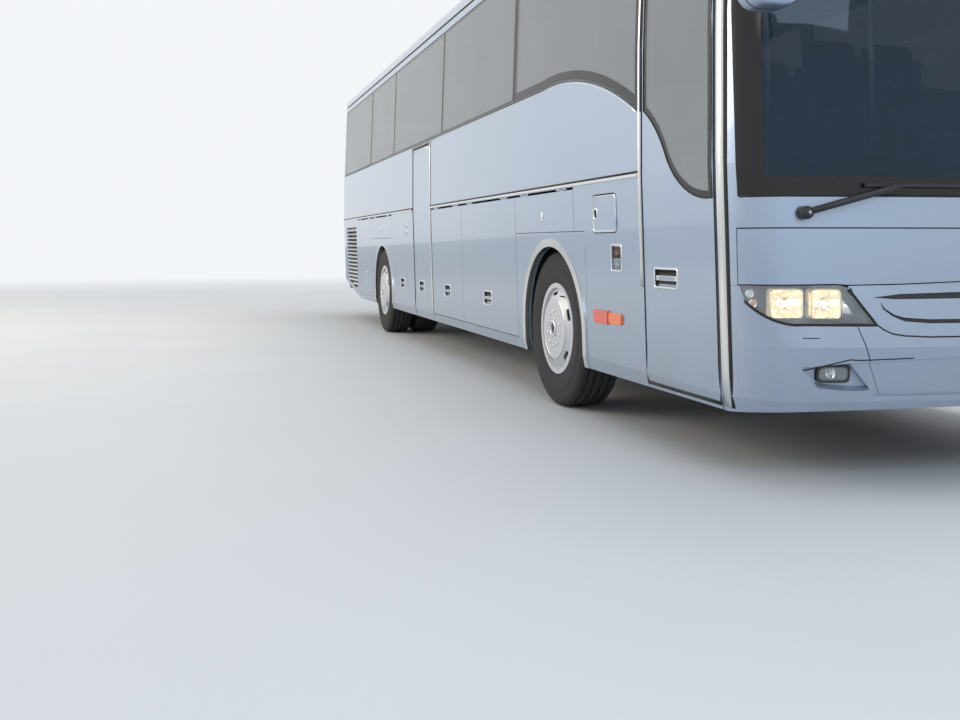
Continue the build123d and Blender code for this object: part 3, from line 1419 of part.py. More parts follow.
for name, shape in nodes.items():
    if isinstance(shape, list):
        solids = []
        for item in shape:
            solids += item.solids()
    else:
        solids = shape.solids()
    whole = solids[0] if len(solids) == 1 else Compound(children=solids)
    export_step(whole, os.path.join("parts", name + ".step"))
    print(name, len(solids), round(sum(s.volume for s in solids) / 1e6, 1))
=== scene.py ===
import math

import bmesh
import bpy
from bpy.props import FloatProperty, FloatVectorProperty, IntProperty
from mathutils import Matrix, Vector


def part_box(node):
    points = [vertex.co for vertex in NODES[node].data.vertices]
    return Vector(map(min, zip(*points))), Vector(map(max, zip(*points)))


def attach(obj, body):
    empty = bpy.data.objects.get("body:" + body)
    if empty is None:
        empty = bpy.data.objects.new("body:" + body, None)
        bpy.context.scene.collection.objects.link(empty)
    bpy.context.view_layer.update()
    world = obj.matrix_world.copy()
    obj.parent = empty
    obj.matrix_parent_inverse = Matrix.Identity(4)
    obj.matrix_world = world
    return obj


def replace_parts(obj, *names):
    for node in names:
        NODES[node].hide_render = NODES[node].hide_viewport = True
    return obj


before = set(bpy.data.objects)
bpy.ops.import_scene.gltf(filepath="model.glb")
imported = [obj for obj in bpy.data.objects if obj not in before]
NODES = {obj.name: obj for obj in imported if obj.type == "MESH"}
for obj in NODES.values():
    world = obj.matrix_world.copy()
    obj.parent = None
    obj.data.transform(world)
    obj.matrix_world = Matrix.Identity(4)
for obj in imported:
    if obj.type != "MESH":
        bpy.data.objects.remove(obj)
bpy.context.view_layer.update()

bl_info = {
    "name": "Touring coach finish",
    "version": (1, 0, 0),
    "blender": (4, 5, 0),
    "location": "View3D > Sidebar > Coach",
    "description": "Dresses the touring coach with its glazing, tyres, lamps, trims, seats and finishes",
    "category": "Object",
}

# The body that the coach's shell and most added pieces ride on
SHELL = "coach_body"

# Places on the coach, in metres of the row frame
FRONT_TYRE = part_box("front_tyre_right")
REAR_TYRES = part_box("rear_tyres_right")
FRONT_AXLE_X = (FRONT_TYRE[0].x + FRONT_TYRE[1].x) / 2
REAR_AXLE_X = (REAR_TYRES[0].x + REAR_TYRES[1].x) / 2
AXLE_Z = (FRONT_TYRE[0].z + FRONT_TYRE[1].z) / 2
TYRE_RADIUS = (FRONT_TYRE[1].z - FRONT_TYRE[0].z) / 2
TYRE_WIDTH = FRONT_TYRE[1].y - FRONT_TYRE[0].y
FRONT_TYRE_Y = -(FRONT_TYRE[0].y + FRONT_TYRE[1].y) / 2
OUTER_TWIN_Y = -REAR_TYRES[0].y - TYRE_WIDTH / 2
INNER_TWIN_Y = -REAR_TYRES[1].y + TYRE_WIDTH / 2
NOSE_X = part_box("front_bumper")[1].x
TAIL_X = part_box("rear_bumper")[0].x


def ahead(distance):
    """The X of a place measured ahead of the front axle."""
    return FRONT_AXLE_X + distance


# Half of the body's width by height, as the side wall has it
SIDE_LINE = (
    (0.325, 1.226),
    (0.400, 1.241),
    (1.450, 1.275),
    (2.140, 1.275),
    (3.220, 1.239),
)


def measure(line, z):
    """What a table of heights gives at a height, straight between its rows."""
    value = line[0][1]
    for (low, start), (high, end) in zip(line, line[1:]):
        if z >= low:
            value = start + (end - start) * min(1.0, (z - low) / (high - low))
    return value


def half_width(z):
    """Half of the body's width at a height."""
    return measure(SIDE_LINE, z)


def flank(x, z, out=0.0, side=-1):
    """A point on the coach's side, some way out of its surface."""
    return Vector((x, side * (half_width(z) + out), z))


# Setback of the nose's tip by height, and the bow of its front in plan
NOSE_LINE = (
    (0.325, 0.060),
    (0.400, 0.030),
    (0.640, 0.0),
    (0.907, 0.030),
    (1.285, 0.045),
    (1.450, 0.052),
    (2.140, 0.085),
    (2.700, 0.128),
    (3.220, 0.172),
)
NOSE_BOW = 4.0
MASK_X = NOSE_X - 0.455


def nose_plan(z):
    """The nose's plan at a height: centre of its bow, radius and centre of its corners."""
    bow_x = NOSE_X - measure(NOSE_LINE, z) - NOSE_BOW
    run = MASK_X - bow_x
    side = half_width(z)
    corner = (NOSE_BOW ** 2 - run ** 2 - side ** 2) / (2 * (NOSE_BOW - side))
    return bow_x, corner, side - corner


def beside(x, z, out=0.0, side=-1):
    """A point on the side or on the nose's corner at a place along the coach, and the way out."""
    corner, corner_y = nose_plan(z)[1:]
    reach = max(0.0, x - MASK_X)
    way = Vector((reach, side * math.sqrt(corner ** 2 - reach ** 2), 0)) / corner
    return Vector((min(x, MASK_X), side * corner_y, z)) + way * (corner + out), way


def nose(y, z, out=0.0):
    """A point on the nose as seen from ahead, and the way out of the surface there."""
    bow_x, corner, corner_y = nose_plan(z)
    run = MASK_X - bow_x
    if abs(y) <= NOSE_BOW * math.sin(math.atan2(corner_y, run)):
        way = Vector((math.sqrt(NOSE_BOW ** 2 - y ** 2), y, 0)) / NOSE_BOW
        point = Vector((bow_x, 0, z)) + way * NOSE_BOW
    else:
        reach = min(abs(y) - corner_y, corner * 0.9999)
        way = Vector((math.sqrt(corner ** 2 - reach ** 2), math.copysign(reach, y), 0)) / corner
        point = Vector((MASK_X, math.copysign(corner_y, y), z)) + way * corner
    return point + way * out, way


def behind_nose(y, z, depth):
    """A point straight behind the nose's surface."""
    return nose(y, z)[0] - Vector((depth, 0, 0))


# Lean of the tail by height, which is flat in plan
TAIL_LINE = ((0.325, 0.0), (1.450, 0.0), (2.140, 0.020), (3.220, 0.060))
BACK = Vector((-1, 0, 0))


def tail(y, z, out=0.0):
    """A point on the tail's flat back, some way behind it."""
    return Vector((TAIL_X + measure(TAIL_LINE, z) - out, y, z))


def arc(a, b, c, steps=14):
    """Points along the arc through three others."""
    (ax, ay), (bx, by), (cx, cy) = a, b, c
    d = 2 * (ax * (by - cy) + bx * (cy - ay) + cx * (ay - by))
    aa, bb, cc = ax * ax + ay * ay, bx * bx + by * by, cx * cx + cy * cy
    ux = (aa * (by - cy) + bb * (cy - ay) + cc * (ay - by)) / d
    uy = (aa * (cx - bx) + bb * (ax - cx) + cc * (bx - ax)) / d
    radius = math.hypot(ax - ux, ay - uy)
    start = math.atan2(ay - uy, ax - ux)
    via = (math.atan2(by - uy, bx - ux) - start) % (2 * math.pi)
    end = (math.atan2(cy - uy, cx - ux) - start) % (2 * math.pi)
    end -= 2 * math.pi * (via > end)
    turns = [start + end * step / steps for step in range(steps + 1)]
    return [(ux + radius * math.cos(t), uy + radius * math.sin(t)) for t in turns]


def divided(line, step=0.06):
    """The line's points with more between them, no further apart than the step."""
    points = [line[0]]
    for (a, b), (c, d) in zip(line, line[1:]):
        count = max(1, math.ceil(math.hypot(c - a, d - b) / step))
        points += [(a + (c - a) * n / count, b + (d - b) * n / count) for n in range(1, count + 1)]
    return points


def rounded(x, z, length, height, radius, steps=5):
    """A rounded rectangle about a point."""
    points = []
    for turn, (sx, sz) in enumerate(((1, 1), (-1, 1), (-1, -1), (1, -1))):
        cx = x + sx * (length / 2 - radius)
        cz = z + sz * (height / 2 - radius)
        for step in range(steps + 1):
            angle = math.pi / 2 * (turn + step / steps)
            points.append((cx + radius * math.cos(angle), cz + radius * math.sin(angle)))
    return points


def domed(width, height, sink=0.003, steps=6):
    """The section of a trim that is flat below and domed above."""
    top = [(-width / 2 * math.cos(math.pi * n / steps), height * math.sin(math.pi * n / steps))
           for n in range(steps + 1)]
    return [(-width / 2, -sink)] + top + [(width / 2, -sink)]


def round_turn(count):
    """The angles that part a full turn evenly."""
    return [2 * math.pi * step / count for step in range(count)]


def square_to(way):
    """Two directions square to a way and to each other."""
    up = Vector((0, 0, 1)) if abs(way.z) < 0.9 else Vector((1, 0, 0))
    across = way.cross(up).normalized()
    return across, across.cross(way)


class Shade:
    """A socket of a material's nodes. Sums on it add Math nodes, so shader maths reads as Python."""

    def __init__(self, finish, socket):
        self.finish = finish
        self.socket = socket

    def part(self, name):
        """Another output of the same node."""
        return Shade(self.finish, self.socket.node.outputs[name])

    def maths(self, operation, *values):
        """A Math node on these values."""
        return self.finish.node("ShaderNodeMath", {"operation": operation}, dict(enumerate(values)))

    def __add__(self, other):
        return self.maths("ADD", self, other)

    __radd__ = __add__

    def __sub__(self, other):
        return self.maths("SUBTRACT", self, other)

    def __rsub__(self, other):
        return self.maths("SUBTRACT", other, self)

    def __mul__(self, other):
        return self.maths("MULTIPLY", self, other)

    __rmul__ = __mul__

    def __truediv__(self, other):
        return self.maths("DIVIDE", self, other)

    def __rtruediv__(self, other):
        return self.maths("DIVIDE", other, self)

    def __pow__(self, other):
        return self.maths("POWER", self, other)

    def __rpow__(self, other):
        return self.maths("POWER", other, self)

    def __lt__(self, other):
        return self.maths("LESS_THAN", self, other)

    def __gt__(self, other):
        return self.maths("GREATER_THAN", self, other)

    def clamp(self):
        """The value held between 0 and 1."""
        settings = {"operation": "ADD", "use_clamp": True}
        return self.finish.node("ShaderNodeMath", settings, {0: self, 1: 0.0})

    def wave(self):
        """The sine of the value."""
        return self.maths("SINE", self)


class Finish:
    """The nodes of a material, or of the world, in the making."""

    def __init__(self, name, kind="materials", output="ShaderNodeOutputMaterial"):
        self.owner = getattr(bpy.data, kind).new(name)
        self.owner.use_nodes = True
        self.tree = self.owner.node_tree
        self.tree.nodes.clear()
        self.output = self.tree.nodes.new(output)

    def node(self, kind, settings, inputs):
        """A node of this kind with its settings made first, then its sockets' values or links."""
        made = self.tree.nodes.new(kind)
        for name, value in settings.items():
            if name == "stops":
                ramp = made.color_ramp
                while len(ramp.elements) < len(value):
                    ramp.elements.new(0.5)
                for element, (position, colour) in zip(ramp.elements, value):
                    element.position = position
                    element.color = colour
            else:
                setattr(made, name, value)
        for name, value in inputs.items():
            if isinstance(value, Shade):
                self.tree.links.new(value.socket, made.inputs[name])
            else:
                made.inputs[name].default_value = value
        return Shade(self, made.outputs[0]) if made.outputs else None

    def place(self, stretch=None):
        """The place on the piece in metres, stretched along X, Y and Z where asked."""
        place = self.node("ShaderNodeTexCoord", {}, {}).part("Object")
        if stretch is None:
            return place
        return self.node("ShaderNodeVectorMath", {"operation": "MULTIPLY"}, {0: place, 1: stretch})

    def axes(self):
        """X, Y and Z of the place on the piece."""
        split = self.node("ShaderNodeSeparateXYZ", {}, {0: self.place()})
        return split, split.part("Y"), split.part("Z")

    def noise(self, scale, detail=3.0, stretch=None):
        """Cloudy variation between 0 and 1, this many waves to the metre."""
        inputs = {"Vector": self.place(stretch), "Scale": scale, "Detail": detail}
        return self.node("ShaderNodeTexNoise", {}, inputs)

    def cells(self, scale, feature="F1"):
        """Distance within scattered cells, this many cells to the metre."""
        inputs = {"Vector": self.place(), "Scale": scale}
        return self.node("ShaderNodeTexVoronoi", {"feature": feature}, inputs)

    def mix(self, share, first, second):
        """A colour between two others."""
        inputs = {0: share, 6: first, 7: second}
        return self.node("ShaderNodeMix", {"data_type": "RGBA"}, inputs).part(2)

    def bump(self, height, strength, distance):
        """A normal from a height in metres times the distance."""
        inputs = {"Height": height, "Strength": strength, "Distance": distance}
        return self.node("ShaderNodeBump", {}, inputs)

    def dirt(self, top, depth):
        """Road film that grows from this height down, broken up by noise."""
        height = self.axes()[2]
        fall = ((top - height) / depth).clamp()
        return (fall * (0.35 + self.noise(3.0, 6.0) * 0.9)).clamp()

    def end(self, shader):
        """Gives the shader to the output."""
        self.tree.links.new(shader.socket, self.output.inputs["Surface"])
        return self.owner

    def surface(self, inputs):
        """Ends the material in one Principled shader."""
        return self.end(self.node("ShaderNodeBsdfPrincipled", {}, inputs))


def rgba(colour, share=1.0):
    """A colour with full alpha, darker by a share."""
    return tuple(part * share for part in colour[:3]) + (1.0,)


ROAD_FILM = (0.19, 0.165, 0.135, 1.0)


def coach_paint(name, colour):
    """Metallic paint under clear lacquer, with road film towards the sill."""
    finish = Finish(name)
    film = finish.dirt(1.15, 0.95) * 0.34
    cloud = finish.noise(0.9, 2.0)
    flake = finish.cells(760.0)
    tone = finish.mix(cloud, rgba(colour, 0.95), rgba(colour, 1.04))
    tone = finish.mix(flake * 0.14, tone, rgba((0.9, 0.92, 0.95)))
    peel = finish.noise(130.0, 1.0)
    return finish.surface({
        "Base Color": finish.mix(film, tone, ROAD_FILM),
        "Metallic": 0.62 - film * 0.5,
        "Roughness": 0.27 + film * 0.4 + cloud * 0.04,
        "Coat Weight": 0.9 - film * 0.7,
        "Coat Roughness": 0.04,
        "Normal": finish.bump(peel, 0.02, 0.0004),
    })


def worn_paint(name, colour, film_top, roughness=0.5, metallic=0.0):
    """Plain paint below the floor, under road dust."""
    finish = Finish(name)
    film = finish.dirt(film_top, 1.0) * 0.6
    patches = finish.noise(7.0, 5.0)
    tone = finish.mix(patches, rgba(colour, 0.75), rgba(colour, 1.2))
    return finish.surface({
        "Base Color": finish.mix(film, tone, ROAD_FILM),
        "Metallic": metallic,
        "Roughness": roughness + patches * 0.2,
        "Normal": finish.bump(finish.noise(90.0, 4.0), 0.25, 0.0006),
    })


def bright_metal(name, colour, roughness, grain=(1.0, 40.0, 40.0)):
    """Polished or brushed metal whose fine grain runs along the coach."""
    finish = Finish(name)
    streaks = finish.noise(26.0, 3.0, grain)
    smears = finish.noise(2.4, 4.0)
    return finish.surface({
        "Base Color": finish.mix(smears, rgba(colour, 0.88), rgba(colour, 1.05)),
        "Metallic": 1.0,
        "Roughness": roughness + streaks * 0.1 + smears * 0.07,
        "Normal": finish.bump(streaks, 0.05, 0.0002),
    })


def moulding(name, colour, roughness, grain=700.0, depth=0.0002):
    """Moulded plastic with a fine leather-like grain."""
    finish = Finish(name)
    cells = finish.cells(grain, "SMOOTH_F1")
    haze = finish.noise(5.0, 4.0)
    return finish.surface({
        "Base Color": finish.mix(haze, rgba(colour, 0.82), rgba(colour, 1.22)),
        "Roughness": roughness + haze * 0.14,
        "Normal": finish.bump(cells, 0.4, depth),
    })


def rubber(name, colour, dusty):
    """Black rubber, dusty where it meets the road."""
    finish = Finish(name)
    dust = finish.noise(9.0, 6.0) * dusty
    return finish.surface({
        "Base Color": finish.mix(dust.clamp(), rgba(colour), (0.13, 0.115, 0.1, 1.0)),
        "Roughness": 0.62 + dust * 0.3,
        "Normal": finish.bump(finish.noise(240.0, 3.0), 0.2, 0.0005),
    })


def window_glass(name, colour, alpha, mirror):
    """Tinted safety glass that shows the inside dimly under its gloss, coated as far as asked."""
    finish = Finish(name)
    smears = finish.noise(1.7, 5.0)
    tone = finish.mix(smears, rgba(colour, 0.9), rgba(colour, 1.15))
    return finish.surface({
        "Base Color": tone,
        "Roughness": 0.012 + smears * 0.012,
        "Metallic": mirror,
        "IOR": 1.45 + mirror,
        "Alpha": alpha + smears * 0.04,
    })


def lens(name, colour, alpha, ribs, glow=0.0):
    """A lamp's lens, with fine upright ribs on its inside."""
    finish = Finish(name)
    y = finish.axes()[1]
    lines = (y * ribs).wave()
    haze = finish.noise(14.0, 3.0)
    return finish.surface({
        "Base Color": finish.mix(haze, rgba(colour, 0.85), rgba(colour, 1.1)),
        "Roughness": 0.06 + haze * 0.05,
        "Alpha": alpha + haze * 0.05,
        "Coat Weight": 0.8,
        "Emission Color": rgba(colour),
        "Emission Strength": glow,
        "Normal": finish.bump(lines, 0.35, 0.0012),
    })


def woven(name, colour, second, accent):
    """Woven seat cover: a fine weave under a scattered pattern of two more threads."""
    finish = Finish(name)
    x, y, z = finish.axes()
    weave = ((y * 2600.0).wave() * ((x + z) * 2600.0).wave() + 1.0) * 0.5
    motif = finish.cells(16.0)
    dots = (motif < 0.24) * 0.8
    clouds = finish.noise(11.0, 3.0)
    tone = finish.mix((clouds * 1.4 - 0.3).clamp(), rgba(colour), rgba(second))
    tone = finish.mix(dots * (clouds > 0.5), tone, rgba(accent))
    tone = finish.mix(weave * 0.25, tone, rgba(colour, 0.55))
    return finish.surface({
        "Base Color": tone,
        "Roughness": 0.88 - weave * 0.08,
        "Sheen Weight": 0.35,
        "Sheen Roughness": 0.4,
        "Normal": finish.bump(weave, 0.5, 0.0008),
    })


def floor_covering(name, colour, speck):
    """Hard-wearing floor covering with scattered light specks."""
    finish = Finish(name)
    specks = (finish.cells(210.0) < 0.16) * 0.7
    wear = finish.noise(2.2, 4.0)
    tone = finish.mix(wear, rgba(colour, 0.8), rgba(colour, 1.25))
    return finish.surface({
        "Base Color": finish.mix(specks, tone, rgba(speck)),
        "Roughness": 0.55 + wear * 0.2,
        "Normal": finish.bump(finish.noise(300.0, 2.0), 0.2, 0.0003),
    })


def lamp_colours(name):
    """Ribbed lenses: red, amber and clear fields one above another behind, orange and amber beside."""
    finish = Finish(name)
    x, y, z = finish.axes()
    amber_field = (z > 1.30) * (z < 1.40)
    clear_field = (z > 1.0) * (z < 1.09)
    behind = finish.mix(amber_field, (0.42, 0.008, 0.006, 1.0), (0.85, 0.20, 0.01, 1.0))
    behind = finish.mix(clear_field, behind, (0.62, 0.62, 0.60, 1.0))
    marker = finish.mix(x > ahead(0.998), (0.72, 0.035, 0.006, 1.0), (0.86, 0.16, 0.012, 1.0))
    tone = finish.mix(x > 0.0, behind, marker)
    haze = finish.noise(14.0, 3.0)
    tone = finish.mix(haze * 0.12, tone, (0.95, 0.4, 0.2, 1.0))
    lines = ((x + y) * 700.0).wave() + (z * 260.0).wave() * 0.6
    return finish.surface({
        "Base Color": tone,
        "Roughness": 0.08 + haze * 0.06,
        "Coat Weight": 0.85,
        "Emission Color": tone,
        "Emission Strength": 0.12,
        "Normal": finish.bump(lines, 0.35, 0.0010),
    })


def lit_reflector(name, colour):
    """A polished reflector, fluted upright, with a painted warm glow in patches."""
    finish = Finish(name)
    y = finish.axes()[1]
    flutes = (y * 190.0).wave()
    patches = finish.noise(9.0, 3.0)
    # The emission below paints a warm glow onto the reflector in patches: painted light, not a lamp.
    glow = (patches * 2.2 - 0.55).clamp()
    return finish.surface({
        "Base Color": finish.mix(patches, rgba(colour, 0.7), rgba(colour, 1.05)),
        "Metallic": 1.0,
        "Roughness": 0.10 + patches * 0.12,
        "Emission Color": finish.mix(glow, (0.10, 0.07, 0.035, 1.0), (1.0, 0.80, 0.46, 1.0)),
        "Emission Strength": 0.75,
        "Normal": finish.bump(flutes, 0.5, 0.0015),
    })


def colour(name, description, default):
    """A colour that shows in the sidebar."""
    return FloatVectorProperty(name=name, description=description, subtype="COLOR", size=3,
                               min=0.0, max=1.0, default=default)


def length(name, description, low, high, default):
    """A length in metres that shows in the sidebar."""
    return FloatProperty(name=name, description=description, subtype="DISTANCE", unit="LENGTH",
                         min=low, max=high, default=default)


class CoachColours(bpy.types.PropertyGroup):
    """Colours that an owner would choose."""

    body: colour("Body paint", "Metallic paint of all panels and doors", (0.335, 0.425, 0.565))
    glass: colour("Glass tint", "Tint of the side and rear windows", (0.33, 0.35, 0.36))
    screen: colour("Windscreen tint", "Tint of the windscreen", (0.008, 0.030, 0.058))
    seats: colour("Seat cover", "Ground colour of the woven seat covers", (0.085, 0.10, 0.17))


class CoachSizes(bpy.types.PropertyGroup):
    """Sizes of what is added round the coach's own panels."""

    tread_depth: length("Tread depth", "Depth of the tyres' grooves", 0.004, 0.02, 0.014)
    tread_notches: IntProperty(name="Tread notches", min=24, max=120, default=72,
                               description="Shoulder notches round each tyre")
    trim_height: length("Trim height", "How far the bright trims stand out of the body",
                        0.003, 0.012, 0.007)
    frit_width: length("Glass border", "Width of the black border round each pane",
                       0.02, 0.12, 0.06)
    bead_width: length("Glazing bead", "Width of the rubber bead under and between the panes",
                       0.004, 0.012, 0.008)
    cushion_crown: length("Cushion crown", "How far a seat cushion may swell",
                          0.005, 0.03, 0.022)


# Points closer than this are one point of the CAD's mesh
MERGE = 0.00005


def hang(data, body, slot, *finishes):
    """The object of a mesh in these finishes, riding on its body."""
    for finish in finishes:
        data.materials.append(bpy.data.materials[finish])
    obj = bpy.data.objects.new(data.name, data)
    bpy.context.scene.collection.objects.link(obj)
    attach(obj, body)
    return obj


def finished(mesh, name, body, slot, *finishes):
    """The object of a bmesh, which ends here, riding on its body."""
    data = bpy.data.meshes.new(name)
    mesh.to_mesh(data)
    mesh.free()
    return hang(data, body, slot, *finishes)


class Form:
    """A mesh in the making: closed shapes, each in one of the piece's finishes."""

    def __init__(self, *finishes):
        self.finishes = list(finishes)
        self.mesh = bmesh.new()
        self.shade = 0

    def use(self, place):
        """The finish of what is added next, by its place in the list."""
        self.shade = place
        return self

    def skin(self, rows, closed_rows=False, closed_across=False, caps=False):
        """A surface through rows of points."""
        made = [[self.mesh.verts.new(point) for point in row] for row in rows]
        count = len(made[0])
        last = len(made) if closed_rows else len(made) - 1
        for i in range(last):
            a, b = made[i], made[(i + 1) % len(made)]
            for j in range(count if closed_across else count - 1):
                k = (j + 1) % count
                self._face((a[j], b[j], b[k], a[k]))
        if caps:
            self._face(made[0])
            self._face(list(reversed(made[-1])))

    def _face(self, corners):
        face = self.mesh.faces.new(corners)
        face.material_index = self.shade
        face.smooth = True
        return face

    def block(self, low, high, bevel):
        """A box between two corners with rounded edges."""
        low, high = Vector(low), Vector(high)
        verts = bmesh.ops.create_cube(self.mesh, size=1.0)["verts"]
        size = high - low
        for vert in verts:
            vert.co = Vector((vert.co.x * size.x, vert.co.y * size.y, vert.co.z * size.z))
        edges = list({edge for vert in verts for edge in vert.link_edges})
        made = bmesh.ops.bevel(self.mesh, geom=edges, offset=bevel, segments=2,
                               profile=0.5, affect="EDGES", clamp_overlap=True)
        linked = {vert for face in made["faces"] for vert in face.verts} | set(made["verts"])
        grown = True
        while grown:
            more = {other for vert in linked for edge in vert.link_edges for other in edge.verts}
            grown = not more <= linked
            linked |= more
        centre = (low + high) / 2
        for vert in linked:
            vert.co += centre
        for face in {face for vert in linked for face in vert.link_faces}:
            face.material_index = self.shade
            face.smooth = True

    def turned(self, profile, centre, axis="Y", steps=48, side=1):
        """A profile of radius and distance along an axis, turned right round it."""
        rows = []
        for angle in round_turn(steps):
            c, s = math.cos(angle), math.sin(angle)
            row = []
            for radius, along in profile:
                along *= side
                if axis == "Y":
                    point = (radius * c, along, radius * s)
                elif axis == "Z":
                    point = (radius * c, radius * s, along)
                else:
                    point = (along, radius * c, radius * s)
                row.append(Vector(point) + Vector(centre))
            rows.append(row)
        self.skin(rows, closed_rows=True)

    def strip(self, path, outs, section, closed=False):
        """A bar of this section swept along a path that lies on a surface, mitred at its corners."""
        rows = []
        count = len(path)
        for i, (point, out) in enumerate(zip(path, outs)):
            before = path[i - 1] if i or closed else None
            after = path[(i + 1) % count] if i < count - 1 or closed else None
            first = (point - before).normalized() if before is not None else None
            second = (after - point).normalized() if after is not None else first
            first = second if first is None else first
            along = (first + second).normalized()
            across = along.cross(out).normalized() / max(0.5, along.dot(second))
            rows.append([point + across * a + out * b for a, b in section])
        self.skin(rows, closed_rows=closed, closed_across=True, caps=not closed)

    def on_side(self, line, side, section, closed=False):
        """A strip along a line of X and Z on the coach's side."""
        path = [flank(x, z, 0.0, side) for x, z in line]
        self.strip(path, [Vector((0, side, 0))] * len(path), section, closed)

    def run(self, line, side, section, step=0.2):
        """A strip on the side whose places are measured ahead of the front axle."""
        self.on_side(divided(along(line), step), side, section)

    def on_nose(self, line, section, step, side=1, out=0.0):
        """A strip along a line of Y and Z on the nose."""
        path, outs = zip(*[nose(side * y, z, out) for y, z in divided(line, step)])
        self.strip(path, outs, section)

    def on_tail(self, line, section, out=0.0, closed=True):
        """A strip along a line of Y and Z on the tail."""
        path = [tail(y, z, out) for y, z in line]
        self.strip(path, [BACK] * len(path), section, closed)

    def plate(self, points, out, thick):
        """A flat plate over an outline, from its face back by its thickness."""
        back = [point - out * thick for point in points]
        self.skin([points, back], closed_across=True, caps=True)

    def tube(self, path, radius, sides=10, closed=False):
        """A round bar along a path."""
        path = [Vector(point) for point in path]
        rows = []
        count = len(path)
        for i, point in enumerate(path):
            before = path[i - 1] if i or closed else point
            after = path[(i + 1) % count] if i < count - 1 or closed else point
            across, up = square_to((after - before).normalized())
            rows.append([point + radius * (math.cos(t) * across + math.sin(t) * up)
                         for t in round_turn(sides)])
        self.skin(rows, closed_rows=closed, closed_across=True, caps=not closed)

    def bolt(self, point, out, radius, height):
        """A hexagon bolt head on a surface."""
        out = Vector(out).normalized()
        across, up = square_to(out)
        rows = []
        for share, rise in ((1.0, 0.0), (1.0, 0.75), (0.85, 1.0)):
            rows.append([Vector(point) + out * height * rise
                         + radius * share * (math.cos(t) * across + math.sin(t) * up)
                         for t in round_turn(6)])
        self.skin(rows, closed_across=True, caps=True)

    def piece(self, name, body, slot):
        """The finished object, riding on its body."""
        bmesh.ops.recalc_face_normals(self.mesh, faces=self.mesh.faces[:])
        return finished(self.mesh, name, body, slot, *self.finishes)


class FinishPanels(bpy.types.Operator):
    """Mixes all finishes and gives each CAD piece its own"""

    bl_idname = "coach.finish_panels"
    bl_label = "Finish panels"

    def execute(self, context):
        colours = context.scene.coach_colours
        coach_paint("body_paint", colours.body)
        worn_paint("frame_paint", (0.028, 0.028, 0.03), 1.1)
        worn_paint("casting", (0.10, 0.10, 0.105), 1.1, 0.6, 0.4)
        worn_paint("hold_sheet", (0.30, 0.31, 0.32), 0.7, 0.4, 0.7)
        worn_paint("arch_liner", (0.022, 0.022, 0.023), 1.3, 0.75)
        bright_metal("polished_trim", (0.78, 0.78, 0.77), 0.12)
        bright_metal("chrome", (0.86, 0.87, 0.88), 0.04)
        bright_metal("machined_steel", (0.44, 0.44, 0.45), 0.28)
        bright_metal("wheel_silver", (0.60, 0.61, 0.62), 0.24, (14.0, 14.0, 14.0))
        bright_metal("mirror_glass", (0.92, 0.93, 0.94), 0.0, (3.0, 3.0, 3.0))
        moulding("black_moulding", (0.022, 0.022, 0.024), 0.42)
        moulding("dash_moulding", (0.035, 0.04, 0.046), 0.5)
        moulding("roof_moulding", (0.62, 0.64, 0.66), 0.34, 300.0)
        moulding("pale_lining", (0.46, 0.45, 0.43), 0.6, 260.0)
        moulding("frit", (0.003, 0.0032, 0.0036), 0.16, 400.0, 0.00002)
        moulding("plate_white", (0.72, 0.72, 0.70), 0.3, 500.0, 0.00002)
        moulding("plate_dark", (0.060, 0.022, 0.018), 0.3, 500.0, 0.00002)
        moulding("plate_pale", (0.25, 0.29, 0.33), 0.3, 500.0, 0.00002)
        rubber("tyre_rubber", (0.010, 0.010, 0.011), 0.25)
        rubber("seal_rubber", (0.003, 0.003, 0.0035), 0.03)
        window_glass("window_glass", colours.glass, 0.70, 0.55)
        window_glass("screen_glass", colours.screen, 0.60, 0.0)
        lens("clear_lens", (0.85, 0.88, 0.9), 0.14, 120.0)
        lamp_colours("lamp_lens")
        lens("amber_lens", (0.85, 0.20, 0.01), 0.93, 520.0, 0.12)
        lens("lamp_white", (0.80, 0.82, 0.84), 0.93, 520.0, 0.1)
        lens("lit_bulb", (1.0, 0.86, 0.62), 1.0, 120.0, 3.0)
        lit_reflector("lit_reflector", (0.95, 0.86, 0.68))
        woven("seat_cover", colours.seats, (0.05, 0.12, 0.24), (0.42, 0.30, 0.08))
        woven("seat_trim", (0.055, 0.06, 0.075), (0.04, 0.045, 0.06), (0.08, 0.09, 0.11))
        floor_covering("floor_cover", (0.085, 0.088, 0.095), (0.3, 0.3, 0.32))
        named = (
            ("clear_lens", ("headlamps",)),
            ("lamp_lens", ("tail_lamps",)),
            ("polished_trim", ("rub_rails", "engine_louvres")),
            ("black_moulding", ("front_grille", "wipers", "steering_wheel")),
            ("floor_cover", ("saloon_floor",)),
            ("hold_sheet", ("luggage_hold",)),
            ("arch_liner", ("wheel_housings",)),
            ("frame_paint", ("chassis_frame",)),
            ("casting", ("engine", "front_axle", "rear_axle", "knuckle_right", "knuckle_left")),
            ("machined_steel", ("tie_rod", "front_door_arm", "mid_door_arm", "tow_sockets",
                                "service_flap_links")),
            ("roof_moulding", ("roof_unit",)),
            ("dash_moulding", ("dashboard",)),
            ("pale_lining", ("luggage_racks",)),
            ("wheel_silver", ("front_rim_right", "front_rim_left", "rear_rims_right",
                              "rear_rims_left")),
            ("tyre_rubber", ("front_tyre_right", "front_tyre_left", "rear_tyres_right",
                             "rear_tyres_left")),
            ("window_glass", ("saloon_windows", "front_door_glass")),
            ("screen_glass", ("windscreen",)),
            ("seat_cover", ("passenger_seats", "driver_seat")),
        )
        given = {node: finish for finish, nodes in named for node in nodes}
        for name, node in NODES.items():
            node.data.materials.clear()
            node.data.materials.append(bpy.data.materials[given.get(name, "body_paint")])
        return {"FINISHED"}


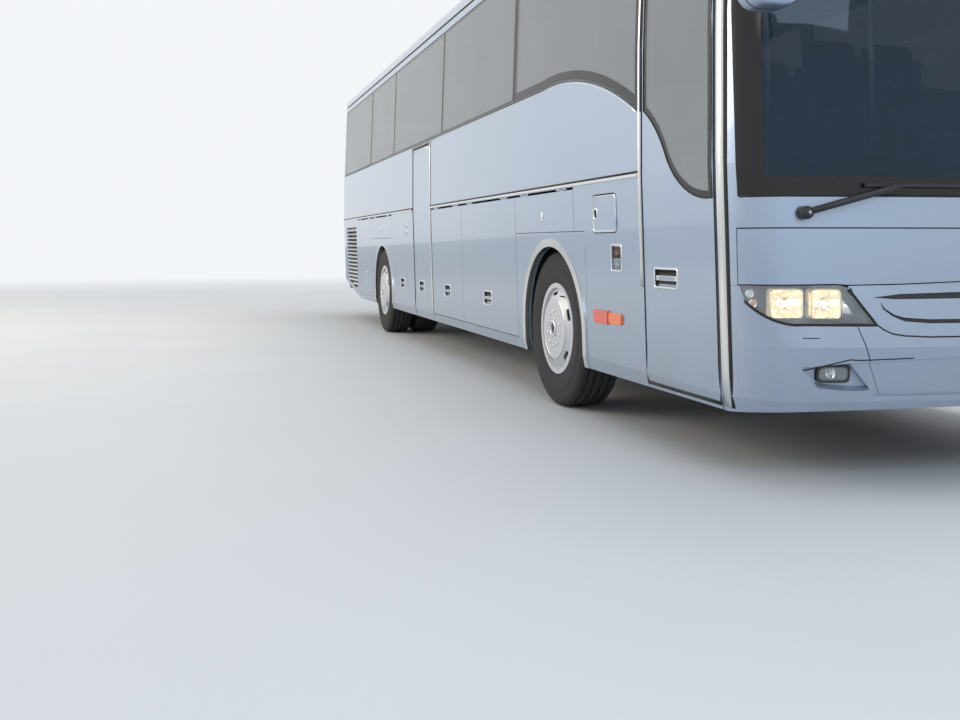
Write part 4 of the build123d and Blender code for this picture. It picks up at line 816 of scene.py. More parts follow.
class Tyres(bpy.types.Operator):
    """Cuts the road tread and sidewall rings of the six tyres"""

    bl_idname = "coach.tyres"
    bl_label = "Tyres"

    def execute(self, context):
        sizes = context.scene.coach_sizes
        wheels = (
            ("front_tyre", "front_wheel", FRONT_AXLE_X, (FRONT_TYRE_Y,)),
            ("rear_tyres", "rear_wheels", REAR_AXLE_X, (OUTER_TWIN_Y, INNER_TWIN_Y)),
        )
        for node, body, x, places in wheels:
            for side, word in ((-1, "right"), (1, "left")):
                form = Form("tyre_rubber")
                for y in places:
                    self.tyre(form, Vector((x, side * y, AXLE_Z)), sizes)
                piece = form.piece(f"treaded_{node}_{word}", f"{body}_{word}", "tyre_rubber")
                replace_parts(piece, f"{node}_{word}")
        return {"FINISHED"}

    def tyre(self, form, centre, sizes):
        """One tyre about the Y axis through its centre."""
        half = TYRE_WIDTH / 2
        grooves = [half * share for share in (-0.54, -0.19, 0.19, 0.54)]
        groove = 0.0062
        bead = 0.2863
        wall = [(bead, half - 0.022), (0.310, half - 0.022), (0.322, half - 0.014),
                (0.330, half - 0.0145), (0.352, half - 0.006), (0.362, half - 0.0065),
                (0.395, half - 0.0008), (0.412, half), (0.430, half - 0.0006),
                (0.434, half - 0.0032), (0.449, half - 0.0035), (0.453, half - 0.0025),
                (0.480, half - 0.009), (0.500, half - 0.0145), (0.509, half - 0.022)]
        crown = []
        for y in grooves:
            for offset, deep in ((-groove - 0.001, 0), (-groove, 1), (groove, 1), (groove + 0.001, 0)):
                crown.append((y + offset, deep))
        edge = half - 0.05
        shoulder = 0.49
        notch_depth, wall_notch_depth = 0.008, 0.006
        rows = []
        for step, angle in enumerate(round_turn(sizes.tread_notches * 4)):
            c, s = math.cos(angle), math.sin(angle)
            notch = 1 if step % 4 == 0 else 0
            sway = 0.0035 * (1 if step % 8 < 4 else -1)
            outer = [(r - wall_notch_depth * notch * (r > shoulder), y) for r, y in wall]
            outer += [(TYRE_RADIUS - 0.003 - notch_depth * notch, half - 0.034),
                      (TYRE_RADIUS - 0.0006 - notch_depth * notch, edge)]
            row = [(r, -y) for r, y in outer]
            for y, deep in crown:
                depth = sizes.tread_depth * deep
                row.append((TYRE_RADIUS - depth - 0.002 * (abs(y) > 0.06), y + sway))
            row += outer[::-1]
            rows.append([centre + Vector((r * c, y, r * s)) for r, y in row])
        form.skin(rows, closed_rows=True, closed_across=True)


class Glazing(bpy.types.Operator):
    """Fits the panes and the windscreen with their black borders"""

    bl_idname = "coach.glazing"
    bl_label = "Glazing"

    def execute(self, context):
        sizes = context.scene.coach_sizes
        self.panes("saloon_windows", "glazed_panes", SHELL, sizes.frit_width)
        self.panes("front_door_glass", "glazed_door_pane", "front_door_leaf", sizes.frit_width * 0.6)
        self.screen()
        return {"FINISHED"}

    def panes(self, node, name, body, border):
        """Flat panes as the CAD holds them, their outer faces parted into border and clear glass."""
        mesh = bmesh.new()
        mesh.from_mesh(NODES[node].data)
        bmesh.ops.remove_doubles(mesh, verts=mesh.verts, dist=MERGE)
        bmesh.ops.dissolve_limit(mesh, angle_limit=0.004, verts=mesh.verts, edges=mesh.edges)
        mesh.normal_update()
        broad = []
        for face in mesh.faces:
            middle = face.calc_center_median()
            along = face.normal.y if abs(middle.y) > 1.2 else face.normal.x
            face.material_index = 0 if abs(along) > 0.95 else 1
            if abs(along) > 0.95:
                broad.append(face)
        corner, weld = 0.022, 0.006
        for width in (corner, border - corner):
            rim = bmesh.ops.inset_region(mesh, faces=broad, thickness=width, use_boundary=True,
                                         use_even_offset=True)
            for face in rim["faces"]:
                face.material_index = 1
            within = list({vert for face in broad for vert in face.verts})
            bmesh.ops.remove_doubles(mesh, verts=within, dist=weld)
            broad = [face for face in broad if face.is_valid]
        bmesh.ops.triangulate(mesh, faces=mesh.faces[:], ngon_method="EAR_CLIP")
        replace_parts(finished(mesh, name, body, "glass", "window_glass", "frit"), node)

    def screen(self):
        """The windscreen with a black border all round, its faces parted along straight lines."""
        low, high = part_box("windscreen")
        mesh = bmesh.new()
        mesh.from_mesh(NODES["windscreen"].data)
        border = 0.085
        inset = Vector((0, border, border))
        for normal in (Vector((0, 0, 1)), Vector((0, 1, 0))):
            for point in (low + inset, high - inset):
                geometry = mesh.verts[:] + mesh.edges[:] + mesh.faces[:]
                bmesh.ops.bisect_plane(mesh, geom=geometry, plane_co=point, plane_no=normal)
        for face in mesh.faces:
            middle = face.calc_center_median()
            inside = low.z + border < middle.z < high.z - border and abs(middle.y) < high.y - border
            face.material_index = 0 if inside else 1
            face.smooth = True
        piece = finished(mesh, "glazed_windscreen", SHELL, "glass", "screen_glass", "frit")
        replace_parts(piece, "windscreen")


# Heights of the lines along the sides, from below, and where the side's panels start
FLAP_SEAM = 1.1695
FLAP_TOP = 1.430
RAIL_LIP = 1.4755
WINDOW_FOOT = 2.146
PANE_TOP = 3.128
DRIP_RUBBER = 3.196
DRIP_RAIL = 3.214
TAIL_PANEL_X = TAIL_X + 0.15
# Foot of the front side window and of the entrance's glass, ahead of the front axle
WAVE = [(-0.10, WINDOW_FOOT)] + arc((-0.10, WINDOW_FOOT), (0.88, 2.038), (1.454, 1.802))[1:]
DOOR_WAVE = (arc((1.505, 1.796), (1.62, 1.712), (1.75, 1.56), 8)
             + arc((1.75, 1.56), (1.90, 1.398), (2.232, 1.304), 10)[1:])


def along(line):
    """A line whose places are measured ahead of the front axle, in the row frame."""
    return [(ahead(x), z) for x, z in line]


class WaistLines(bpy.types.Operator):
    """Runs the rubber and bright lines along the sides: waist rail, window foot, drip rail, pane
    uprights and flap seams
    """

    bl_idname = "coach.waist_lines"
    bl_label = "Waist lines"

    def execute(self, context):
        sizes = context.scene.coach_sizes
        bead = domed(sizes.bead_width, 0.004)
        black = Form("seal_rubber")
        bright = Form("polished_trim")
        for side in (-1, 1):
            if side < 0:
                rails = ((TAIL_PANEL_X, ahead(-4.292)), (ahead(-3.43), ahead(1.436)))
            else:
                rails = ((TAIL_PANEL_X, MASK_X - 0.02),)
            for start, end in rails:
                line = divided([(start, RAIL_LIP), (end, RAIL_LIP)], 0.8)
                black.on_side(line, side, domed(0.019, 0.0150))
            foot = divided(along([(-9.17, WINDOW_FOOT)]) + along(WAVE), 0.8)
            black.on_side([(x, z - 0.006) for x, z in foot], side, bead)
            bright.on_side([(x, z - 0.022) for x, z in foot[len(foot) - 20:]], side, domed(0.010, 0.003))
            black.run([(-9.14, DRIP_RUBBER), (2.25, DRIP_RUBBER)], side, domed(0.012, 0.006), 0.8)
            bright.run([(-9.12, DRIP_RAIL), (2.25, DRIP_RAIL)], side,
                       domed(0.020, sizes.trim_height), 0.8)
            for x in (-6.90, -5.33, -2.97, -0.74):
                black.run([(x, WINDOW_FOOT), (x, PANE_TOP)], side, domed(sizes.bead_width, 0.0015))
            black.run([(1.462, 1.80), (1.462, 3.12)], side, domed(0.012, 0.004))
        seam = domed(0.0042, 0.0003, 0.006)
        for side, places in ((-1, (-7.940, -6.850, -5.476, -3.430, -2.264, -0.716)),
                             (1, (-7.940, -6.850, -4.900, -3.430, -2.264, -0.716))):
            for x in places:
                foot_z = 1.18 if x == -5.476 else 0.41
                black.run([(x, foot_z), (x, FLAP_TOP)], side, seam, 0.3)
        for start, end in ((-0.712, 0.648), (-6.846, -5.48)):
            black.run([(start, FLAP_SEAM), (end, FLAP_SEAM)], -1, domed(0.0046, 0.0003, 0.006), 0.3)
        black.run([(0.650, 0.40), (0.650, 1.085)], -1, domed(0.003, 0.0004, 0.002))
        black.piece("side_rubber_lines", SHELL, "black_plastic")
        bright.piece("side_bright_lines", SHELL, "bright_metal")
        return {"FINISHED"}


class DoorTrims(bpy.types.Operator):
    """Trims both doorways: bright uprights, rubber edges and the seals round the entrance's glass"""

    bl_idname = "coach.door_trims"
    bl_label = "Door trims"

    def execute(self, context):
        sizes = context.scene.coach_sizes
        bright = Form("polished_trim")
        bright.run([(1.449, 0.86), (1.449, 3.12)], -1, domed(0.026, sizes.trim_height), 0.12)
        self.front_trim(bright, 2.306, 0.068, 0.011)
        bright.piece("entrance_uprights", SHELL, "bright_metal")
        black = Form("seal_rubber")
        self.front_trim(black, 2.352, 0.024, 0.006)
        black.run([(-3.432, 0.42), (-3.432, 2.13)], -1, domed(0.004, 0.003))
        black.piece("entrance_rubber", SHELL, "black_plastic")

        seal = Form("seal_rubber")
        for x in (1.481, 2.250):
            seal.run([(x, 0.36), (x, 3.07)], -1, domed(0.009, 0.004), 0.15)
        glass = [(x, z + 0.001) for x, z in DOOR_WAVE] + [(2.232, 3.088), (1.505, 3.088)]
        seal.run(glass + glass[:1], -1, domed(sizes.bead_width, 0.004), 0.4)
        seal.run([(1.478, 0.352), (2.254, 0.352)], -1, domed(0.02, 0.005))
        seal.piece("entrance_seals", "front_door_leaf", "black_plastic")

        bright = Form("polished_trim")
        bright.run([(-3.468, 0.35), (-3.468, 2.118)], -1, domed(0.036, sizes.trim_height), 0.12)
        bright.run([(-4.269, 2.072), (-3.50, 2.072)], -1, domed(0.008, 0.003), 0.3)
        bright.piece("mid_door_upright", "mid_door_leaf", "bright_metal")
        seal = Form("seal_rubber")
        seal.run([(-4.262, 0.36), (-4.262, 2.118)], -1, domed(0.014, 0.005), 0.15)
        seal.run([(-4.269, 2.106), (-3.49, 2.106)], -1, domed(0.024, 0.002), 0.3)
        seal.piece("mid_door_seal", "mid_door_leaf", "black_plastic")
        return {"FINISHED"}

    def front_trim(self, form, x, width, height):
        """An upright that stands on the nose's corner, ahead of the entrance."""
        foot, top, steps = 0.345, 3.19, 20
        for side in (-1, 1):
            path, outs = zip(*[beside(ahead(x), foot + (top - foot) * step / steps, 0.0, side)
                               for step in range(steps + 1)])
            form.strip(path, outs, domed(width, height, 0.006))


# Height, length and height of the pocket of the two kinds of flap handle
FLAP_HANDLE = (0.652, 0.220, 0.112)
ENGINE_HANDLE = (0.652, 0.066, 0.150)
# Recessed handles, as body, place ahead of the front axle, the pocket's sizes and side
HANDLES = (
    ("luggage_flap_right_rear_body", -2.827, FLAP_HANDLE, -1),
    ("luggage_flap_right_front_body", -1.494, FLAP_HANDLE, -1),
    ("engine_flap_right_body", -7.360, ENGINE_HANDLE, -1),
    (SHELL, -4.913, FLAP_HANDLE, -1),
    ("mid_door_leaf", -3.932, FLAP_HANDLE, -1),
    ("front_door_leaf", 1.732, (0.914, 0.260, 0.100), -1),
    ("luggage_flap_left_rear_body", -4.165, FLAP_HANDLE, 1),
    ("luggage_flap_left_middle_body", -2.827, FLAP_HANDLE, 1),
    ("luggage_flap_left_front_body", -1.494, FLAP_HANDLE, 1),
    ("engine_flap_left_body", -7.360, ENGINE_HANDLE, 1),
)
POCKET_DEPTH = 0.0135
# Locks, as body, place ahead of the front axle and height
LOCKS = (
    ("wheel_flap_front_body", -0.12, 1.277),
    ("wheel_flap_rear_body", -6.177, 1.275),
)


class SideFittings(bpy.types.Operator):
    """Frames the handles, locks, sockets, filler flap and the recessed plate of both sides"""

    bl_idname = "coach.side_fittings"
    bl_label = "Side fittings"

    def execute(self, context):
        for number, (body, x, (z, length, height), side) in enumerate(HANDLES):
            form = Form("chrome", "black_moulding")
            self.pocket(form, ahead(x), z, length, height, side)
            self.lever(form, ahead(x), z, length, height, side)
            form.piece(f"handle_{number:02d}", body, "bright_metal")
        for number, (body, x, z) in enumerate(LOCKS):
            form = Form("chrome", "black_moulding")
            self.lock(form, ahead(x), z)
            form.piece(f"flap_lock_{number}", body, "bright_metal")
        form = Form("chrome", "black_moulding")
        for z in (1.290, 1.222):
            self.pocket(form, ahead(-4.65), z, 0.060, 0.050, -1)
            form.use(1).turned([(0.017, 0.0), (0.017, 0.009), (0.010, 0.010), (0.006, 0.004)],
                               flank(ahead(-4.65), z, -0.0132), steps=24, side=-1)
        form.piece("side_sockets", SHELL, "black_plastic")
        self.filler()
        self.recessed_plate()
        return {"FINISHED"}

    def pocket(self, form, x, z, length, height, side):
        """A bright frame round a pocket whose floor and walls are dark."""
        ring = rounded(x, z, length - 0.002, height - 0.002, 0.012)
        form.use(0).on_side(ring, side, domed(0.013, 0.005, 0.001), closed=True)
        walls = []
        for inset, sink in ((0.0015, 0.001), (0.002, POCKET_DEPTH - 0.002),
                            (0.006, POCKET_DEPTH - 0.0005)):
            loop = rounded(x, z, length - 2 * inset, height - 2 * inset, 0.011)
            walls.append([flank(px, pz, -sink, side) for px, pz in loop])
        form.use(1).skin(walls, closed_across=True)
        form.plate(walls[-1], Vector((0, side, 0)), 0.0002)

    def lever(self, form, x, z, length, height, side):
        """The bright paddle of a handle with its dished finger grip."""
        level = length > height
        half_x = length / 2 - 0.007 if level else 0.010
        half_z = 0.013 if level else height / 2 - 0.007
        rows = []
        for share, rise in ((1.0, -0.0145), (1.0, -0.004), (0.94, -0.0022), (0.80, -0.0022),
                            (0.74, -0.0034)):
            loop = rounded(x, z, 2 * half_x * share, 2 * half_z * share, 0.008 * share, 4)
            rows.append([flank(px, pz, rise, side) for px, pz in loop])
        form.use(0).skin(rows, closed_across=True, caps=True)

    def lock(self, form, x, z):
        """A square bright lock with its round barrel and slot."""
        rows = []
        for share, rise in ((1.0, -0.001), (1.0, 0.003), (0.86, 0.005), (0.7, 0.0048)):
            loop = rounded(x, z, 0.044 * share, 0.064 * share, 0.008)
            rows.append([flank(px, pz, rise) for px, pz in loop])
        form.use(0).skin(rows, closed_across=True, caps=True)
        form.turned([(0.0, 0.0085), (0.006, 0.0085), (0.012, 0.0078), (0.0135, 0.004)],
                    flank(x, z, 0.0), steps=24, side=-1)
        form.use(1)
        form.block(flank(x - 0.0015, z - 0.008, 0.0092), flank(x + 0.0015, z + 0.008, 0.0078), 0.0004)

    def filler(self):
        """The filler flap's bright edge, its dark finger recess and its lock."""
        x0, x1, z0, z1 = ahead(0.786), ahead(1.131), 1.158, 1.379
        form = Form("chrome", "seal_rubber")
        ring = rounded((x0 + x1) / 2, (z0 + z1) / 2, x1 - x0 - 0.014, z1 - z0 - 0.014, 0.024, 6)
        form.use(0).on_side(ring, -1, domed(0.010, 0.004, 0.001), closed=True)
        upper = [(x0 + 0.03, z1 - 0.003), (x1 - 0.03, z1 - 0.003)]
        form.use(1).on_side(divided(upper, 0.1), -1, domed(0.006, 0.003, 0.001))
        self.pocket(form.use(0), ahead(0.830), 1.270, 0.050, 0.060, -1)
        form.piece("filler_trim", "filler_flap_body", "bright_metal")

    def recessed_plate(self):
        """A blank plate of two tones in a bright frame, ahead of the front wheel."""
        x, z = ahead(1.118), 1.010
        form = Form("chrome", "plate_dark", "plate_pale")
        ring = rounded(x, z, 0.143, 0.148, 0.012)
        form.use(0).on_side(ring, -1, domed(0.012, 0.005, 0.001), closed=True)
        upper = rounded(x, z + 0.030, 0.118, 0.064, 0.006)
        lower = rounded(x, z - 0.036, 0.118, 0.052, 0.006)
        for place, outline in ((1, upper), (2, lower)):
            points = [flank(px, pz, -0.0045) for px, pz in outline]
            form.use(place).plate(points, Vector((0, -1, 0)), 0.003)
        for dx in (-0.062, 0.062):
            form.use(0).bolt(flank(x + dx, z, -0.0078), (0, -1, 0), 0.004, 0.003)
        form.piece("recessed_plate", SHELL, "bright_metal")


LAMP = ([(-1.238, 0.905), (-1.06, 0.907), (-0.895, 0.909)]
        + arc((-0.895, 0.909), (-0.862, 0.905), (-0.838, 0.893), 4)[1:]
        + [(-0.724, 0.737), (-0.88, 0.7385), (-1.043, 0.740)]
        + arc((-1.043, 0.740), (-1.158, 0.764), (-1.226, 0.836), 10)[1:])


class Lamps(bpy.types.Operator):
    """Builds the headlamps and fog lamps: clear lenses over dark bowls with their reflectors in painted
    glow
    """

    bl_idname = "coach.lamps"
    bl_label = "Lamps"

    def execute(self, context):
        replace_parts(self.lenses(), "headlamps")
        for side, word in ((1, "right"), (-1, "left")):
            self.bowl(side, word)
            self.fog_lamp(side, word)
        return {"FINISHED"}

    def lenses(self):
        """The outer faces of the lamps' solids as thin clear covers."""
        mesh = bmesh.new()
        mesh.from_mesh(NODES["headlamps"].data)
        bmesh.ops.remove_doubles(mesh, verts=mesh.verts, dist=MERGE)
        mesh.normal_update()
        behind = [face for face in mesh.faces if face.normal.x < 0.12]
        bmesh.ops.delete(mesh, geom=behind, context="FACES")
        outer = mesh.faces[:]
        for face in outer:
            face.smooth = True
        bmesh.ops.solidify(mesh, geom=outer, thickness=0.003)
        return finished(mesh, "lamp_covers", SHELL, "lamp_glass", "clear_lens")

    def bowl(self, side, word):
        """The lamp's dark bowl, its reflector block with two dishes, and two small lamps outside."""
        form = Form("black_moulding", "lit_reflector", "chrome", "lit_bulb", "amber_lens",
                    "lamp_white")
        centre_y = sum(y for y, z in LAMP) / len(LAMP)
        centre_z = sum(z for y, z in LAMP) / len(LAMP)
        line = divided(LAMP + LAMP[:1], 0.03)[:-1]
        rows = []
        for depth, share in ((0.006, 0.992), (0.05, 0.97), (0.12, 0.93)):
            rows.append([behind_nose(side * (centre_y + (y - centre_y) * share),
                                     centre_z + (z - centre_z) * share, depth) for y, z in line])
        form.use(0).skin(rows, closed_across=True)
        low = min(point.x for point in rows[-1]) - 0.02
        back = [Vector((low, point.y, point.z)) for point in rows[-1]]
        form.skin([rows[-1], back], closed_across=True)
        form.plate(back, -BACK, 0.002)
        self.block(form, side)
        for y, z, radius, lens_place in ((-1.205, 0.868, 0.017, 5), (-1.196, 0.824, 0.016, 4)):
            place = behind_nose(side * y, z, 0.048) + Vector((0, side * 0.006, 0))
            form.use(2).turned([(radius, -0.03), (radius + 0.004, 0.0), (radius + 0.004, 0.010),
                                (radius, 0.012), (radius - 0.004, 0.004)], place, "X", 24)
            form.use(lens_place).turned([(0.0, 0.012), (radius * 0.5, 0.010),
                                         (radius - 0.002, 0.003), (radius - 0.002, -0.02)],
                                        place, "X", 24)
        panel = ((-0.846, 0.876), (-0.758, 0.757), (-0.848, 0.757))
        form.use(2).plate([behind_nose(side * y, z, 0.040) for y, z in panel], -BACK, 0.004)
        form.piece(f"headlamp_inside_{word}", SHELL, "lamp_glass")

    def block(self, form, side):
        """The reflector block in painted warm glow: a stepped bezel round two deep dishes with their
        bulbs.
        """
        bottom, top, dish_z = 0.760, 0.890, 0.82
        middle = (bottom + top) / 2
        for y0, y1 in ((-1.138, -0.990), (-0.982, -0.842)):
            centre = (y0 + y1) / 2
            way = nose(side * centre, dish_z)[1]
            face_x = min(behind_nose(side * y, dish_z, 0.030).x for y in (y0, y1))
            tilt = Matrix.Rotation(math.atan2(way.y, way.x) * 0.5, 3, "Z")
            outer = rounded(0.0, 0.0, y1 - y0, top - bottom, 0.016, 5)
            face = Vector((face_x, side * centre, middle))
            rows = []
            for share, depth in ((1.0, 0.055), (1.0, 0.0), (0.93, -0.002), (0.88, 0.006),
                                 (0.72, 0.030), (0.45, 0.048), (0.16, 0.055)):
                rows.append([face + tilt @ Vector((-depth, dy * share, dz * share))
                             for dy, dz in outer])
            # The dishes wear the reflector finish, whose warm glow is painted light.
            form.use(1).skin(rows, closed_across=True, caps=True)
            bulb = (face_x - 0.045, side * centre, middle)
            form.use(3).turned([(0.0, 0.046), (0.008, 0.044), (0.011, 0.034), (0.011, 0.0)],
                               bulb, "X", 16)
            form.use(2).turned([(0.013, 0.0), (0.016, 0.002), (0.016, 0.008), (0.012, 0.010)],
                               bulb, "X", 16)

    def fog_lamp(self, side, word):
        """A fog lamp's dish, bulb and bezel behind its own lens."""
        form = Form("black_moulding", "chrome", "clear_lens")
        y, z = -0.9015, 0.5225
        rows = []
        for inset, depth in ((-0.002, 0.019), (0.006, 0.016), (0.010, 0.022), (0.016, 0.05),
                             (0.030, 0.065)):
            loop = rounded(y, z, 0.141 - 2 * inset, 0.075 - 2 * inset, 0.019, 5)
            rows.append([behind_nose(side * py, pz, depth) for py, pz in loop])
        form.use(0).skin(rows, closed_across=True)
        form.plate(rows[-1], -BACK, 0.001)
        place = behind_nose(side * y, z, 0.066)
        form.use(1).turned([(0.0, 0.0), (0.008, 0.002), (0.016, 0.010), (0.024, 0.026), (0.0255, 0.026),
                            (0.018, 0.008)], place, "X", 28)
        form.use(2).turned([(0.0, 0.020), (0.004, 0.018), (0.005, 0.004)], place, "X", 14)
        form.piece(f"fog_lamp_inside_{word}", SHELL, "lamp_glass")


class NoseLines(bpy.types.Operator):
    """Lays the rubber lines of the nose: lamp gaskets, panel grooves, a black strip that paints the
    shade in the flap's top seam, screen rubber and wipers
    """

    bl_idname = "coach.nose_lines"
    bl_label = "Nose lines"

    def execute(self, context):
        black = Form("seal_rubber")
        lower = LAMP[::-1][:14] + [(-0.838, 0.893)]
        lower = [(y, z - 0.002) for y, z in lower]
        groove = [(-0.724, 0.737), (-0.694, 0.715), (-0.655, 0.697), (-0.601, 0.688),
                  (-0.485, 0.682)]
        scoop = [(-1.042, 0.5395), (-0.843, 0.5865), (-0.801, 0.5835), (-0.56, 0.5905)]
        for side in (1, -1):
            black.on_nose(lower, domed(0.012, 0.003, 0.006), 0.03, side)
            black.on_nose([(-1.046, 0.680), (-0.976, 0.680)], domed(0.004, 0.001, 0.001), 0.02, side)
            black.on_nose(scoop, domed(0.006, 0.001, 0.002), 0.04, side)
        black.on_nose(groove + [(-y, z) for y, z in groove[::-1]], domed(0.007, 0.0015, 0.006), 0.04)
        # A black strip sunk into the flap's top seam paints the seam's shadow gap as a dark line.
        black.on_nose([(-1.262, 1.159), (1.262, 1.159)], domed(0.008, 0.0005, 0.008), 0.03, out=-0.004)
        black.piece("nose_rubber_and_seam_shade", SHELL, "black_plastic")
        foot = Form("seal_rubber")
        foot.on_nose([(-1.243, 1.301), (1.243, 1.301)], domed(0.012, 0.003, 0.004), 0.03)
        foot.piece("screen_rubber", SHELL, "black_plastic")
        self.wiper_caps()
        return {"FINISHED"}

    def wiper_caps(self):
        """The wipers' arms, round caps with their nuts on the spindles, and the blades' lips."""
        form = Form("black_moulding", "machined_steel")
        for side, lift in ((-1, 0.0), (1, 0.038)):
            arm = [nose(side * y, z + lift * share, out)[0] for y, z, out, share in (
                (1.030, 1.224, 0.044, 0.0), (0.86, 1.273, 0.044, 0.4),
                (0.70, 1.318, 0.042, 0.8), (0.605, 1.345, 0.038, 1.0))]
            form.use(0).tube(arm, 0.015, 10)
            place = behind_nose(side * 1.030, 1.225, -0.034)
            form.turned([(0.0, 0.026), (0.012, 0.026), (0.024, 0.020), (0.029, 0.008),
                         (0.030, -0.03), (0.020, -0.032)], place, "X", 28)
            form.use(1).bolt(place + Vector((0.024, 0, 0)), (1, 0, 0), 0.009, 0.006)
            path, outs = zip(*[nose(side * (0.763 - 0.880 * step / 24), 1.354 + lift, 0.010)
                               for step in range(25)])
            form.use(0).strip(path, outs, [(-0.003, -0.008), (-0.001, 0.006), (0.001, 0.006),
                                           (0.003, -0.008)])
        form.piece("wiper_caps", SHELL, "black_plastic")


class Mirrors(bpy.types.Operator):
    """Sets the mirror glass into both heads and a rubber line round them"""

    bl_idname = "coach.mirrors"
    bl_label = "Mirrors"

    def execute(self, context):
        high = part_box("mirrors")[1]
        head_x = high.x - 0.150
        band_z = 2.369
        form = Form("mirror_glass", "seal_rubber")
        for side in (-1, 1):
            y = side * (high.y - 0.115)
            for z, height in ((2.468, 0.380), (2.158, 0.150)):
                rows = []
                for share, sink in ((1.0, 0.003), (1.0, -0.002), (0.97, -0.003)):
                    rows.append([Vector((head_x + sink, py, pz)) for py, pz in
                                 rounded(y, z, 0.192 * share, height * share, 0.045)])
                form.use(0).skin(rows, closed_across=True, caps=True)
            band = rounded(y, band_z, 0.231, 0.623, 0.080, 8)
            path = [Vector((head_x + 0.052, py, pz)) for py, pz in band]
            outs = [Vector((0, py - y, (pz - band_z) * 0.37)).normalized() for py, pz in band]
            form.use(1).strip(path, outs, domed(0.006, 0.001, 0.001), closed=True)
        form.piece("mirror_glasses", SHELL, "bright_metal")
        return {"FINISHED"}


class WheelDetails(bpy.types.Operator):
    """Adds the covers' dark hearts and bright rings, the bolts and the valves of all wheels"""

    bl_idname = "coach.wheel_details"
    bl_label = "Wheel details"

    def execute(self, context):
        wheels = (("front_wheel", FRONT_AXLE_X, FRONT_TYRE_Y),
                  ("rear_wheels", REAR_AXLE_X, OUTER_TWIN_Y))
        for body, x, y in wheels:
            for side, word in ((-1, "right"), (1, "left")):
                form = Form("black_moulding", "chrome", "seal_rubber")
                place = Vector((x, side * y, AXLE_Z))
                form.use(0).turned([(0.0, 0.1515), (0.018, 0.1515), (0.0325, 0.1535), (0.0338, 0.150)],
                                   place, "Y", 32, side)
                form.use(1).turned([(0.038, 0.163), (0.040, 0.166), (0.054, 0.166), (0.056, 0.163)],
                                   place, "Y", 48, side)
                form.turned([(0.196, 0.1505), (0.199, 0.1525), (0.203, 0.1495)], place, "Y", 72, side)
                form.turned([(0.268, 0.112), (0.2725, 0.1135), (0.277, 0.107)], place, "Y", 72, side)
                for step in range(10):
                    spot = self.round_hub(place, 18 + 36 * step, 0.118, side * 0.1545)
                    form.use(1).bolt(spot, (0, side, 0), 0.010, 0.006)
                foot = self.round_hub(place, 62, 0.246, side * 0.122)
                tip = self.round_hub(place, 62, 0.252, side * 0.150)
                form.use(2).tube([foot, (foot + tip) / 2, tip], 0.005, 10)
                form.piece(f"wheel_trim_{body}_{word}", f"{body}_{word}", "wheel_silver")
        return {"FINISHED"}

    def round_hub(self, place, degrees, radius, out):
        """A point round a wheel's centre, so far out of its middle plane."""
        angle = math.radians(degrees)
        return place + Vector((radius * math.cos(angle), out, radius * math.sin(angle)))


class RoofDetails(bpy.types.Operator):
    """Adds the roof unit's fans and grilles and the hatches' seals"""

    bl_idname = "coach.roof_details"
    bl_label = "Roof details"

    def execute(self, context):
        low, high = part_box("roof_unit")
        form = Form("black_moulding", "roof_moulding", "machined_steel")
        top = high.z - 0.014
        middle = (low.x + high.x) / 2
        for dx in (-0.72, 0.0, 0.72):
            for y in (-0.42, 0.42):
                self.fan(form, Vector((middle + dx, y, top)))
        for side in (-1, 1):
            outer = side * (high.y + 0.001)
            y0, y1 = sorted((outer, outer - side * 0.010))
            for step in range(26):
                x = middle - 1.0 + step * 0.08
                form.use(0).block((x - 0.030, y0, high.z - 0.16), (x + 0.030, y1, high.z - 0.095),
                                  0.004)
        form.piece("roof_unit_fans", SHELL, "black_plastic")
        seals = Form("seal_rubber", "machined_steel")
        for x in (ahead(0.9), ahead(-5.9)):
            path = [Vector((px, py, 3.468)) for px, py in rounded(x, 0.0, 0.73, 0.65, 0.075, 6)]
            seals.use(0).tube(path, 0.006, 8, closed=True)
            for dy in (-0.22, 0.22):
                seals.use(1).bolt((x - 0.30, dy, 3.5045), (0, 0, 1), 0.012, 0.006)
        seals.piece("hatch_seals", SHELL, "black_plastic")
        return {"FINISHED"}

    def fan(self, form, place):
        """A fan of seven blades in its ring, under a guard of four hoops and eight spokes."""
        form.use(1).turned([(0.235, 0.013), (0.250, 0.0135), (0.262, 0.006), (0.264, -0.004)],
                           place, "Z", 48)
        form.use(0).turned([(0.0, 0.0135), (0.040, 0.0138), (0.046, 0.008)], place, "Z", 24)
        for radius in (0.08, 0.13, 0.18, 0.23):
            hoop = [self.on_guard(place, radius, angle) for angle in round_turn(32)]
            form.use(2).tube(hoop, 0.0022, 6, closed=True)
        for angle in round_turn(8):
            spoke = [self.on_guard(place, radius, angle) for radius in (0.04, 0.245)]
            form.tube(spoke, 0.0025, 6)
        for angle in round_turn(7):
            blade = Matrix.Rotation(angle, 3, "Z")
            rows = []
            for radius, width, lift in ((0.04, 0.05, 0.003), (0.13, 0.075, 0.0045),
                                        (0.225, 0.09, 0.006)):
                ends = (Vector((radius, -width / 2, -lift)), Vector((radius, width / 2, lift)))
                rows.append([blade @ end + place + Vector((0, 0, 0.001)) for end in ends])
            form.use(0).skin(rows)

    def on_guard(self, place, radius, angle):
        """A point on a fan's guard."""
        return place + Vector((radius * math.cos(angle), radius * math.sin(angle), 0.010))


class Louvres(bpy.types.Operator):
    """Backs the engine's louvres with black blocks that paint the shade in the gaps between their slats
    """

    bl_idname = "coach.louvres"
    bl_label = "Louvres"

    def execute(self, context):
        low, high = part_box("engine_louvres")
        # Black blocks close behind the slats paint the shade that fills the louvres' gaps.
        form = Form("black_moulding")
        for side in (-1, 1):
            y0, y1 = sorted((side * (high.y - 0.075), side * (high.y - 0.050)))
            form.block((low.x + 0.004, y0, low.z + 0.004), (high.x - 0.004, y1, high.z - 0.004), 0.004)
        form.piece("louvre_shade_blocks", SHELL, "black_plastic")
        return {"FINISHED"}


